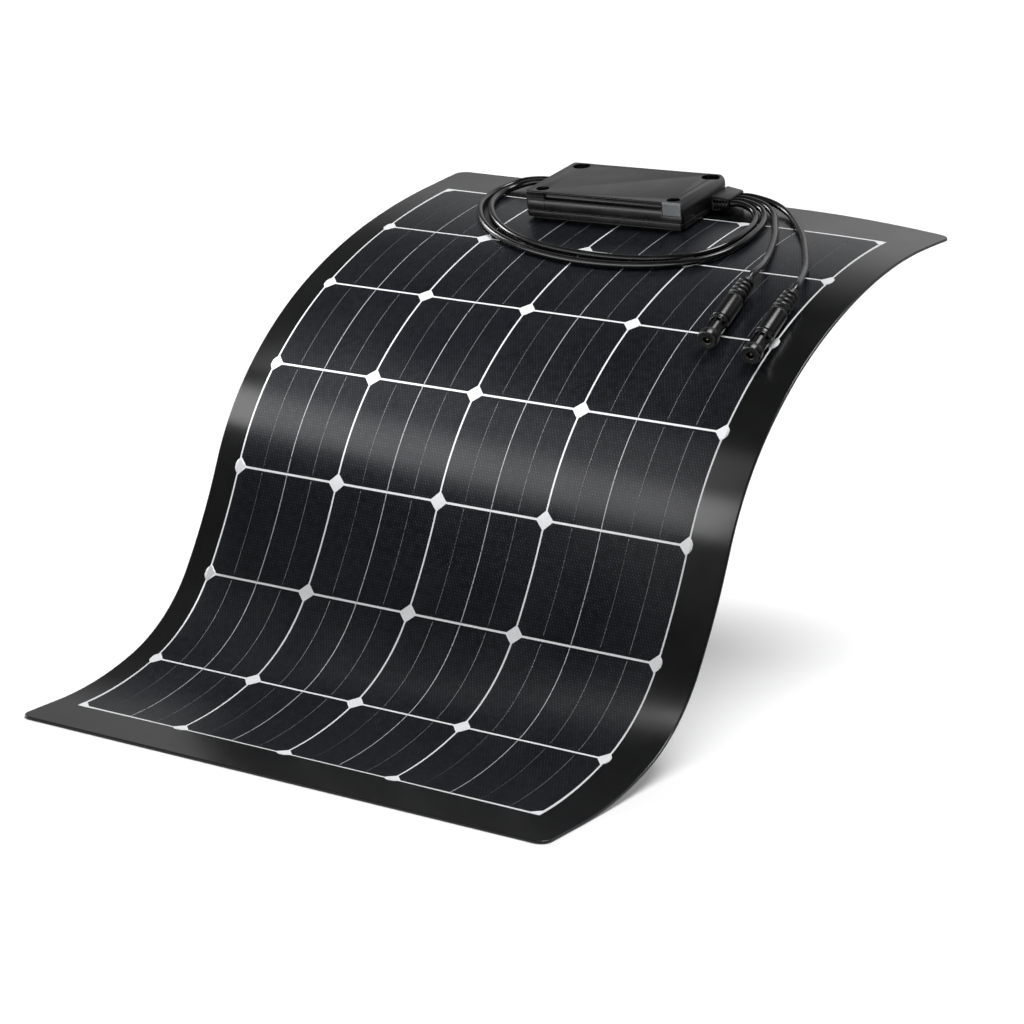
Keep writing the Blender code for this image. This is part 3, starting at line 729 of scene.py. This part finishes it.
def white_field():
    """Plan of the white layer that shows: the cell field, with small ears at its lines' ends."""
    left, right = COLUMN_LINES[0] - FIELD_MARGIN, COLUMN_LINES[-1] + FIELD_MARGIN
    low, high = -FIELD_MARGIN, ROWS * ROW_PITCH + FIELD_MARGIN
    ear = ((-0.0078, 0.0), (-0.0056, 0.0022), (-0.0026, 0.0036), (0.0026, 0.0036), (0.0052, 0.0022),
           (0.0076, 0.0))
    tip = 0.0016
    points = [(left - tip, low - tip)]
    points += [(x + along, low - out * 0.8) for x in COLUMN_LINES[1:-1] for along, out in ear]
    points += [(right + tip, low - tip)]
    points += [(right + out, k * ROW_PITCH + along) for k in range(1, ROWS) for along, out in ear]
    points += [(right + tip, high + tip)]
    points += [(x - along, high + out * 0.5) for x in COLUMN_LINES[-2:0:-1] for along, out in ear]
    points += [(left - tip, high + tip)]
    points += [(left - out, k * ROW_PITCH - along) for k in range(ROWS - 1, 0, -1) for along, out in ear]
    return points


def cell_plans():
    """Plan of every cell, with its own tone."""
    chance = random.Random(7)
    for row in range(ROWS):
        low, high = row * ROW_PITCH + ROW_GAP / 2, (row + 1) * ROW_PITCH - ROW_GAP / 2
        for left, right in zip(COLUMN_LINES, COLUMN_LINES[1:]):
            x0, x1, c = left + COLUMN_GAP / 2, right - COLUMN_GAP / 2, CHAMFER
            yield [(x0 + c, low), (x1 - c, low), (x1, low + c), (x1, high - c), (x1 - c, high),
                   (x0 + c, high), (x0, high - c), (x0, low + c)], chance.random()


def inset_plan(points, inset):
    """A convex plan moved inward by inset on every side."""
    moved = []
    count = len(points)
    for k in range(count):
        a, b, c = (Vector(points[(k + j) % count]) for j in (-1, 0, 1))
        u, v = (b - a).normalized(), (c - b).normalized()
        bisector = Vector((-(u.y + v.y), u.x + v.x)).normalized()
        share = bisector.dot(Vector((-u.y, u.x)))
        moved.append(b + bisector * inset / share)
    return moved


def thin_plate(bm, outline, low, high, edge=0.0, tone=None, layer=None):
    """A plate without an underside: side, sloping rim and top."""
    rings = [[bm.verts.new((x, s, low)) for x, s in outline],
             [bm.verts.new((x, s, high - RIM_DROP)) for x, s in outline]]
    if edge:
        rings.append([bm.verts.new((p.x, p.y, high)) for p in inset_plan(outline, edge)])
    faces = []
    for a, b in zip(rings, rings[1:]):
        faces += band(bm, a, b)
    faces.append(bm.faces.new(rings[-1]))
    if layer is not None:
        for face in faces:
            face[layer] = tone


def marks(bm):
    """A grey plate at every crossing of the white lines, just inside the chamfers of the cells."""
    reach = CHAMFER + COLUMN_GAP / 2 - MARK_INSET
    for k in range(ROWS + 1):
        for number, x in enumerate(COLUMN_LINES):
            east = reach if number < len(COLUMN_LINES) - 1 else MARK_SIDE
            north = reach if k < ROWS else MARK_BACK
            west = reach if number > 0 else MARK_SIDE
            south = reach if k > 0 else MARK_FRONT
            plan = mark_plan(x, k * ROW_PITCH, reach, east, north, west, south)
            thin_plate(bm, plan, WHITE_TOP - FOOT, WHITE_TOP + 2 * FOOT)


def mark_plan(x, s, reach, east, north, west, south):
    """A diamond round (x, s), cut off at its limits to the east, north, west and south."""
    plan = [(reach, 0.0), (0.0, reach), (-reach, 0.0), (0.0, -reach)]
    for axis, sign, limit in ((0, 1, east), (1, 1, north), (0, -1, west), (1, -1, south)):
        kept = []
        for p, q in zip(plan, plan[1:] + plan[:1]):
            over_p, over_q = sign * p[axis] - limit, sign * q[axis] - limit
            if over_p <= 0:
                kept.append(p)
            if over_p * over_q < 0:
                share = over_p / (over_p - over_q)
                kept.append((p[0] + (q[0] - p[0]) * share, p[1] + (q[1] - p[1]) * share))
        plan = kept
    return [(x + a, s + b) for a, b in plan]


def seam_lines():
    """(x, half width, kind) of the fine lines along the cells: 0 is strong, 1 medium, 2 faint."""
    for number, (left, right) in enumerate(zip(COLUMN_LINES, COLUMN_LINES[1:])):
        if number < 3:
            shares = ((0.25, 2), (0.5, 0), (0.75, 1))
        else:
            shares = ((0.2, 2), (0.4, 0), (0.6, 2), (0.8, 1))
        for share, kind in shares:
            yield left + (right - left) * share, SEAM_HALF_WIDTHS[kind], kind


def seams():
    """A flat bar for every fine line. The strong ones reach the white lines, the others stop short."""
    bm = bmesh.new()
    for x, half, kind in seam_lines():
        short = ROW_GAP / 2 + (0.002 if kind else -0.0004)
        for row in range(ROWS):
            low, high = row * ROW_PITCH + short, (row + 1) * ROW_PITCH - short
            corners = [(x - half, low), (x + half, low), (x + half, high), (x - half, high)]
            top = [bm.verts.new((a, b, LINE_TOP)) for a, b in corners]
            foot = [bm.verts.new((a, b, CELL_TOP - FOOT)) for a, b in corners]
            for face in [bm.faces.new(top), *band(bm, foot, top)]:
                face.material_index = kind
    return bm


def bent_strip(name, source, number, materials, columns=True, by_height=False):
    """The part of a flat shape (x, s, d) in one strip, bent to the sheet's curve."""
    first, last = STRIP_ENDS[number], STRIP_ENDS[number + 1]
    bm = source.copy()

    def slice_at(where, normal, **clear):
        bmesh.ops.bisect_plane(bm, geom=bm.verts[:] + bm.edges[:] + bm.faces[:], plane_co=where,
                               plane_no=normal, dist=1e-7, **clear)

    if number > 0:
        slice_at((0, first, 0), (0, 1, 0), clear_inner=True)
    if number < len(STRIP_ENDS) - 2:
        slice_at((0, last, 0), (0, 1, 0), clear_outer=True)
    count = round((last - first) / STATION_STEP)
    for k in range(1, count):
        slice_at((0, first + (last - first) * k / count, 0), (0, 1, 0))
    for near in (first + STATION_STEP / 8, last - STATION_STEP / 8):
        slice_at((0, near, 0), (0, 1, 0))
    if columns:
        across = round((SHEET_RIGHT - SHEET_LEFT) / COLUMN_STEP)
        for k in range(1, across):
            slice_at((SHEET_LEFT + (SHEET_RIGHT - SHEET_LEFT) * k / across, 0, 0), (1, 0, 0))
    uv = bm.loops.layers.uv.new('sheet')
    for face in bm.faces:
        middle = sum(v.co.z for v in face.verts) / len(face.verts)
        if by_height:
            face.material_index = 0 if middle > FILM_HEIGHT else 1
        for loop in face.loops:
            loop[uv].uv = loop.vert.co.xy
    for v in bm.verts:
        v.co = sheet_point(*v.co)
    return add_piece(name, mesh_from(bm, name, smooth=0, flip=False), materials)


def settle_strip(piece, number, slot, *nodes):
    """Fixes the first and the last strip to their bodies; the others are baked in place."""
    if nodes:
        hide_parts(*nodes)
    if number == 0:
        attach(piece, BODIES[0])
    elif number == len(BODIES):
        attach(piece, BODIES[-1])
    else:
        first, last = STRIP_ENDS[number], STRIP_ENDS[number + 1]
        sheet_point(0, first + BLEND_MARGIN)
        sheet_point(0, last - BLEND_MARGIN)
        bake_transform(piece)


def make_sheet():
    """Draws every layer flat, cuts it into strips, bends them to the sheet's curve and fixes the end
    strips to their bodies.
    """
    slab = flat_slab()
    bmesh.ops.recalc_face_normals(slab, faces=slab.faces)
    white = bmesh.new()
    thin_plate(white, white_field(), SHEET_THICKNESS - 0.0001, WHITE_TOP)
    cells = bmesh.new()
    tone = cells.faces.layers.float.new('tone')
    for outline, shade in cell_plans():
        thin_plate(cells, outline, WHITE_TOP - FOOT, CELL_TOP, CELL_EDGE, shade, tone)
    lines = seams()
    greys = bmesh.new()
    marks(greys)
    for flat in (white, cells, lines, greys):
        bmesh.ops.recalc_face_normals(flat, faces=flat.faces)
        up = max(flat.faces, key=lambda f: f.calc_area())
        if up.normal.z < 0:
            bmesh.ops.reverse_faces(flat, faces=flat.faces)
    layers = (('sheet_skin', slab, (FILM, BACK), 'front_film', ('back_sheet', 'front_film')),
              ('white_grid', white, (WHITE,), 'white_reflector', ('white_layer',)),
              ('cell_faces', cells, (CELL,), 'solar_cell', ('cell_string',)),
              ('cell_seams', lines, (STRONG_SEAM, MEDIUM_SEAM, FAINT_SEAM), 'solar_cell', ()),
              ('white_marks', greys, (MARK,), 'white_reflector', ()))
    for number in range(len(STRIP_ENDS) - 1):
        k = number + 1
        for name, flat, materials, slot, stems in layers:
            nodes = [f'{stem}_{k}' for stem in stems if f'{stem}_{k}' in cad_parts]
            piece = bent_strip(f'{name}_{k}', flat, number, materials, columns=bool(stems),
                               by_height=flat is slab)
            if flat is greys:
                piece.data.shade_flat()
            settle_strip(piece, number, slot, *nodes)
    for flat in (slab, white, cells, lines, greys):
        flat.free()


# ---- the junction box ----
def box_plan(inset):
    """Plan of the tray, moved in by inset."""
    w, h, r = BOX_LENGTH / 2 - inset, BOX_DEPTH / 2 - inset, max(BOX_CORNER - inset, 0.0004)
    return rounded_rectangle(-w, -h, w, h, r)


def lid_section(front, lip, valley, roll):
    """Section (y, z) of the lid. Each long side has a lip, a valley under it and a roll below."""
    z = LID_BOTTOM
    half = [(front + 0.0004, z), (front + 0.0004, z + 0.0074), (front + 0.0006, z + 0.0092),
            (front + 0.0012, z + 0.0108), (front + 0.0012 + roll * 0.45, z + 0.0122),
            (front + valley, z + 0.0132), (front + valley, z + 0.0162), (front + lip * 0.5, z + 0.0180),
            (front, z + 0.0186), (front, LID_TOP - 0.0006), (front + 0.0006, LID_TOP)]
    return half + [(-y, zz) for y, zz in reversed(half)]


def make_lid():
    """The lid: corner blocks, a deep valley under the long edges, recesses for the screws."""
    front = -BOX_DEPTH / 2
    end = BOX_LENGTH / 2
    left_block, right_block = -0.0715, 0.0690       # where the valley's ends are
    body = prism(lid_section(front + 0.0006, 0.004, 0.0045, 0.004), left_block, right_block, ALONG_X)
    lid = add_piece('box_lid_shell', raw_mesh(body, 'box_lid_shell'), (PLASTIC, LID_TOP_PAINTED_SHEEN),
                    BOX_FRAME)
    block = lid_section(front, 0.0012, 0.0012, 0.0016)
    for ends in ((-end - 0.002, left_block + 0.00001), (right_block - 0.00001, end + 0.002)):
        combine(lid, 'UNION', prism(block, *ends, ALONG_X))
    plan = rounded_rectangle(-end, front, end, -front, (0.006, 0.004, 0.014, 0.006))
    combine(lid, 'INTERSECT', prism(plan, LID_BOTTOM - BEYOND, LID_TOP + BEYOND))
    wide, tall = SIDE_ROLL
    side = [(-end, LID_BOTTOM - BEYOND), (end, LID_BOTTOM - BEYOND), (end, LID_TOP - tall)]
    side += [(end - wide + wide * cos(a), LID_TOP - tall + tall * sin(a))
             for a in (radians(6 * k) for k in range(1, 16))]
    side += [(-end + 0.0012, LID_TOP), (-end, LID_TOP - 0.0012)]
    combine(lid, 'INTERSECT', prism(side, front - BEYOND, -front + BEYOND, AGAINST_Y))
    w, h = BOX_LENGTH / 2 - WALL - 0.004, BOX_DEPTH / 2 - WALL - 0.004
    a, b = w - BOSS + 0.004, h - BOSS + 0.004
    hollow = [(w, -b), (w, b), (a, b), (a, h), (-a, h), (-a, b), (-w, b), (-w, -b), (-a, -b),
              (-a, -h), (a, -h), (a, -b)]
    cut(lid, prism(hollow, LID_BOTTOM - BEYOND, LID_TOP - WALL - 0.001))
    catch_seat = rectangle(0.0230, 0.0050, end - CATCH_IN, front)
    cut(lid, prism(catch_seat, LID_TOP - 0.0146, ABOVE_LID))
    for sx, sy in SCREW_SIDES:
        radius = RECESS_RADII[sy]
        circle = [(sx * SCREW_X + radius * cos(2 * pi * k / 48),
                   sy * SCREW_Y + radius * sin(2 * pi * k / 48)) for k in range(48)]
        cut(lid, prism(circle, RECESS_FLOOR, LID_TOP + BEYOND))
    groove = rectangle(0.0007, 0.072, 0.0800, 0.0)
    cut(lid, prism(groove, LID_TOP - 0.0008, ABOVE_LID))
    soften(lid, 0.0004, 3)
    # the flat top faces take the lighter plastic, a painted sheen on the lid's top
    for face in lid.data.polygons:
        top = face.normal.z > 0.999 and face.center.z > LID_TOP - 0.0005
        face.material_index = 1 if top else 0
    settle(lid, 'head', 'moulded_plastic', 'box_lid')


def make_base():
    bm = soft_slab(box_plan, BASE_BOTTOM, BASE_TOP, 0.0006, 0.0006)
    base = add_piece('box_tray', mesh_from(bm, 'box_tray'), (PLASTIC,), BOX_FRAME)
    settle(base, 'head', 'moulded_plastic', 'box_base')


def make_catch():
    """The grey catch: a plate with a raised roll along its top and its right side."""
    middle, front, width = BOX_LENGTH / 2 - CATCH_IN, -BOX_DEPTH / 2, 0.0216
    low, high = LID_TOP - 0.0140, LID_TOP + 0.0002
    plate = prism(rectangle(width, high - low, middle, (low + high) / 2), 0.0, 0.0016, ALONG_Y)
    catch = add_piece('lid_catch_plate', raw_mesh(plate, 'lid_catch_plate'), (CATCH,),
                      BOX_FRAME @ Matrix.Translation((0, front + 0.0002, 0)))
    roll = rectangle(width, 0.0028, middle, high - 0.0014)
    bead = rectangle(0.0026, high - low, middle + 0.0095, (low + high) / 2)
    for raised in (roll, bead):
        combine(catch, 'UNION', prism(raised, -0.0007, 0.0010, ALONG_Y))
    soften(catch, 0.0006, 4)
    settle(catch, 'head', 'catch_plastic', 'lid_catch')


def make_screws():
    """Domed screws with a cross slot, sunk in the recesses."""
    shank, head = 0.0018, 0.0055                             # radii
    tip, under, rim, crown = 0.0140, 0.0218, 0.0232, 0.0246      # heights
    outline = [(0.0, tip)] + fillet([(shank, tip), (shank, under), (head, under), (head, rim)], 0.0003)
    outline += [(head * cos(a), rim + 0.0013 * sin(a)) for a in (radians(10 * k) for k in range(1, 9))]
    outline.append((0.0, crown))
    for number, (sx, sy) in enumerate(SCREW_SIDES, 1):
        place = BOX_FRAME @ Matrix.Translation((sx * SCREW_X, sy * SCREW_Y, 0.0007))
        place = place @ Matrix.Rotation(radians(27 * number), 4, 'Z')
        name = f'lid_screw_head_{number}'
        screw = add_piece(name, turned_mesh(name, outline, 48), (STEEL,), place)
        for slot in (rectangle(0.0062, 0.0011), rectangle(0.0011, 0.0062)):
            cut(screw, prism(slot, rim - 0.0001, ABOVE_LID))
        shade(screw.data, 35)
        settle(screw, 'head', 'dark_steel', f'lid_screw_{number}')


def make_gland():
    """Two oval pieces with rounded edges on the left wall."""
    middle = sum(JUMPER_PORTS_Y) / 2
    side = BOX_LENGTH / 2
    place = BOX_FRAME @ Matrix.Translation((0, middle, PORT_HEIGHT)) @ ALONG_X
    cap = 0.009
    for name, node, width, height, ends in (
            ('gland_body', 'cable_gland', 0.022, 0.013, (-side - GLAND_LENGTH + cap + GAP, -side - GAP)),
            ('gland_nose', 'gland_cap', 0.020, 0.011, (-side - GLAND_LENGTH, -side - GLAND_LENGTH + cap))):
        bm = soft_slab(lambda inset, w=width, h=height: oval(w - 2 * inset, h - 2 * inset), *ends,
                       0.0016, 0.0008)
        settle(add_piece(name, mesh_from(bm, name), (RUBBER,), place), 'head', 'rubber', node)


def make_relief():
    """Tapered block with two rows of rib slots along both sides."""
    side = BOX_LENGTH / 2
    middle = (OUTLET_PORTS_Y[0] + OUTLET_PORTS_Y[-1]) / 2
    low, high = 0.0015, 0.0195
    start, end = side + GAP, side + RELIEF_LENGTH
    half_y, half_z = 0.021, (high - low) / 2
    centre_z = (low + high) / 2
    rings = []
    for share, inset in ((0.0, 0.0), (0.93, 0.0), (0.97, 0.0006), (0.99, 0.0014), (1.0, 0.0026)):
        narrow, flat = 1 - 0.14 * share, 1 - 0.28 * share
        w, h = half_y * narrow - inset, half_z * flat - inset
        z = centre_z * flat + PORT_HEIGHT * (1 - flat)
        plan = rounded_rectangle(middle - w, z - h, middle + w, z + h, 0.0028, 5)
        rings.append([Vector((start + (end - start) * share, y, zz)) for y, zz in plan])
    relief = add_piece('ribbed_strain_relief', mesh_from(loft(rings), 'ribbed_strain_relief', 0),
                       (RUBBER,), BOX_FRAME)
    for k in range(5):
        x = start + 0.0032 + 0.0034 * k
        for z in (0.0068, 0.0138):
            for wall in (-1, 1):
                slot = rounded_rectangle(x - 0.0011, z - 0.0017, x + 0.0011, z + 0.0017, 0.0007, 3)
                reach = sorted((middle + wall * 0.0145, middle + wall * 0.030))
                cut(relief, prism(slot, *reach, ALONG_Y))
    soften(relief, 0.0003, 2)
    settle(relief, 'head', 'rubber', 'strain_relief')


# ---- connectors ----
def boot_outline():
    """(radius, z): a tail collar and four round rings that grow towards the housing."""
    outline = [(0.0, 0.0), (0.0040, 0.0), (0.0050, 0.0004), (0.0054, 0.0014), (0.0054, 0.0034),
               (0.0051, 0.0044), (0.0058, 0.0052)]
    for k in range(4):
        start = 0.0058 + 0.0070 * k
        ring, valley = 0.0084 + 0.0004 * k, 0.0062 + 0.0005 * k
        outline.append((valley, start))
        for step in range(9):
            a = pi * step / 8
            outline.append((valley + 0.0003 + (ring - valley - 0.0003) * sin(a) ** 0.6,
                            start + 0.0026 - 0.0024 * cos(a)))
        outline.append((valley, start + 0.0053))
    outline += [(0.0080, BOOT_END - 0.0018), (0.0088, BOOT_END - 0.0012), (0.0090, BOOT_END - 0.0004),
                (0.0086, BOOT_END), (0.0, BOOT_END)]
    return outline


def nut_mesh(name):
    """Coupling nut: a cage of ribs between a collar and a flange, with a round mouth."""
    start = HOUSING_END + GAP
    angles = []
    for k in range(NUT_RIBS):
        for share, deep in ((0.0, 0), (0.17, 0), (0.34, 0), (0.36, 1), (0.66, 1), (0.98, 1)):
            angles.append((2 * pi * (k + share) / NUT_RIBS, deep))
    collar = ((0.0086, 0.0), (0.0096, 0.0005), (0.0096, 0.0038), (0.0089, 0.0046), (0.0089, 0.0056))
    flange = ((0.0089, -0.0024), (0.0090, -0.0006), (0.0103, 0.0), (0.0105, 0.0006))
    mouth = ((0.0105, -0.0018), (0.0101, -0.0007), (0.0094, -0.0002), (0.0084, -0.0002),
             (0.0062, -0.0007), (0.0052, -0.0007), (0.0050, -0.0001), (0.0045, 0.0), (0.0038, -0.0004))
    outline = [(radius, start + up, 0.0) for radius, up in collar]
    outline += [(0.0089, start + 0.0058, WINDOW_DEPTH), (0.0089, FLANGE_START - 0.0026, WINDOW_DEPTH)]
    outline += [(radius, FLANGE_START + up, 0.0) for radius, up in flange]
    outline += [(radius, CONNECTOR_LENGTH + up, 0.0) for radius, up in mouth]
    outline += [(0.0038, FLANGE_START + 0.0020, 0.0), (0.0060, FLANGE_START + 0.0010, 0.0),
                (0.0060, start, 0.0)]
    bm = bmesh.new()
    rings = []
    for radius, z, depth in outline:
        ring = []
        for angle, deep in angles:
            r = radius - depth if deep else radius
            ring.append(bm.verts.new((r * cos(angle), r * sin(angle), z)))
        rings.append(ring)
    rings.append(rings[0])
    for low, high in zip(rings, rings[1:]):
        band(bm, low, high)
    return mesh_from(bm, name, 32)


def make_connector(side, place):
    """Boot, housing with a flat on top, and coupling nut of one connector."""
    axes = connector_frame(*place)
    boot = add_piece(f'ribbed_boot_{side}', turned_mesh('boot', boot_outline(), smooth=50), (RUBBER,),
                     axes)
    settle(boot, 'head', 'rubber', f'connector_boot_{side}')
    start = BOOT_END + GAP
    outline = fillet([(0.0, start), (0.0088, start), (HOUSING_RADIUS, start + 0.0030),
                      (HOUSING_RADIUS, HOUSING_END - 0.0018), (0.0096, HOUSING_END - 0.0004),
                      (0.0086, HOUSING_END), (0.0, HOUSING_END)], 0.0008)
    housing = add_piece(f'connector_shell_{side}', turned_mesh('shell', outline, 96), (PLASTIC,), axes)
    flat = rounded_rectangle(-0.0090, start + 0.0045, 0.0090, HOUSING_END - 0.0035, 0.003, 5)
    cut(housing, prism(flat, -0.0200, -0.0078, ALONG_Y))
    soften(housing, 0.0004, 3, angle=24, smooth=30)
    settle(housing, 'head', 'moulded_plastic', f'connector_housing_{side}')
    nut = add_piece(f'fluted_nut_{side}', nut_mesh('nut'), (PLASTIC,), axes)
    settle(nut, f'coupling_nut_{side}', 'moulded_plastic', f'coupling_nut_{side}')
    return boot, housing, nut


# ---- carried-over nodes ----
def finish_nodes():
    """Materials for the CAD nodes that stay."""
    kinds = ((RUBBER, 'adhesive_pad lid_gasket'),
             (BRASS, 'terminal_1 terminal_2 contact_pin_left contact_pin_right'),
             (COPPER, 'bus_ribbon_1 bus_ribbon_2'),
             (PLASTIC, 'terminal_rail bypass_diode_1 bypass_diode_2 bypass_diode_3 '
                       'connector_insert_left connector_insert_right'))
    for mat, names in kinds:
        for name in names.split():
            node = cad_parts[name]
            node.data.materials.clear()
            node.data.materials.append(mat)


# ---- stage ----
def make_floor():
    mesh = bpy.data.meshes.new('floor')
    size = 30.0
    mesh.from_pydata([(-size, -size, 0), (size, -size, 0), (size, size, 0), (-size, size, 0)], [],
                     [(0, 1, 2, 3)])
    finish = Finish('studio_floor', (0.90, 0.90, 0.905), 0.85, specular=0.1)
    finish.set('Emission Color', (1.0, 1.0, 1.0, 1.0))
    finish.set('Emission Strength', 0.18)
    floor = add_piece('floor', mesh, (finish.mat,))
    floor.location.z = -0.0002


def make_world():
    """A bright cove behind, a dark room in front. The camera itself sees plain white."""
    world = bpy.data.worlds.new('studio')
    bpy.context.scene.world = world
    world.use_nodes = True
    world.node_tree.nodes.clear()
    tree = Nodes(world.node_tree)
    parts = tree.node('ShaderNodeSeparateXYZ')
    tree.link(tree.node('ShaderNodeTexCoord').outputs['Generated'], parts.inputs[0])

    def glow(axis, dark, bright, strength):
        """Brightness that rises from 0 to strength between two values along an axis."""
        return tree.ramp(parts.outputs[axis], 0.0, strength, dark, bright)

    cove = tree.math('MULTIPLY', glow('Y', 0.55, 1.0, 1.5), glow('Z', 0.08, 0.45, 1.0))
    brightness = tree.math('ADD', tree.math('ADD', cove, glow('X', -0.3, -0.9, 0.15)), 0.02)
    room, seen = tree.node('ShaderNodeBackground'), tree.node('ShaderNodeBackground')
    for background, strength in ((room, brightness), (seen, 1.0)):
        background.inputs['Color'].default_value = (1.0, 1.0, 1.0, 1.0)
        tree.feed(background.inputs['Strength'], strength)
    mixed = tree.node('ShaderNodeMixShader')
    tree.link(tree.node('ShaderNodeLightPath').outputs['Is Camera Ray'], mixed.inputs['Fac'])
    tree.link(room.outputs[0], mixed.inputs[1])
    tree.link(seen.outputs[0], mixed.inputs[2])
    tree.link(mixed.outputs[0], tree.node('ShaderNodeOutputWorld').inputs['Surface'])


def make_panel(name, position, target, size, power):
    data = bpy.data.lights.new(name, 'AREA')
    data.shape = 'RECTANGLE'
    data.size, data.size_y = size
    data.energy = power
    light = add_object(name, data)
    light.location = position
    light.rotation_euler = (Vector(target) - Vector(position)).to_track_quat('-Z', 'Y').to_euler()
    light.visible_camera = False


def make_sun(name, position, angle, strength):
    data = bpy.data.lights.new(name, 'SUN')
    data.angle = radians(angle)
    data.energy = strength
    light = add_object(name, data)
    light.location = position
    light.rotation_euler = (-Vector(position)).to_track_quat('-Z', 'Y').to_euler()


def make_lights():
    """Broad light from above and the left, and two panels that draw the bright bands."""
    make_sun('overhead', (0.5, 0.45, 2.5), 30, 2.6)
    make_sun('left_side', (-1.0, 0.08, 0.36), 20, 1.4)
    make_panel('low_panel', (-0.20, 0.19, 0.366), (-0.12, 0.60, 0.44), (0.80, 0.148), 1.20)
    make_panel('high_panel', (-0.22, 0.19, 0.61), (-0.10, 0.60, 0.50), (0.67, 0.18), 0.32)


def main():
    bpy.context.scene.view_settings.view_transform = 'Standard'
    make_camera()
    leads = make_leads()
    make_sheet()
    make_base()
    make_lid()
    make_catch()
    make_screws()
    make_gland()
    make_relief()
    pieces = {side: make_connector(side, place) for side, place in CONNECTORS.items()}
    finish_nodes()
    for name, (start, lead, length) in leads.items():
        print('LEAD', name, round(length, 4))
        side = name.rsplit('_', 1)[-1]
        if side in pieces:
            with_pieces = [*pieces[side], f'connector_insert_{side}', f'contact_pin_{side}']
            end = 'connector'
        else:
            with_pieces, end = [], 'object'
        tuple(start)
        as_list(with_pieces)
    make_floor()
    make_world()
    make_lights()


main()
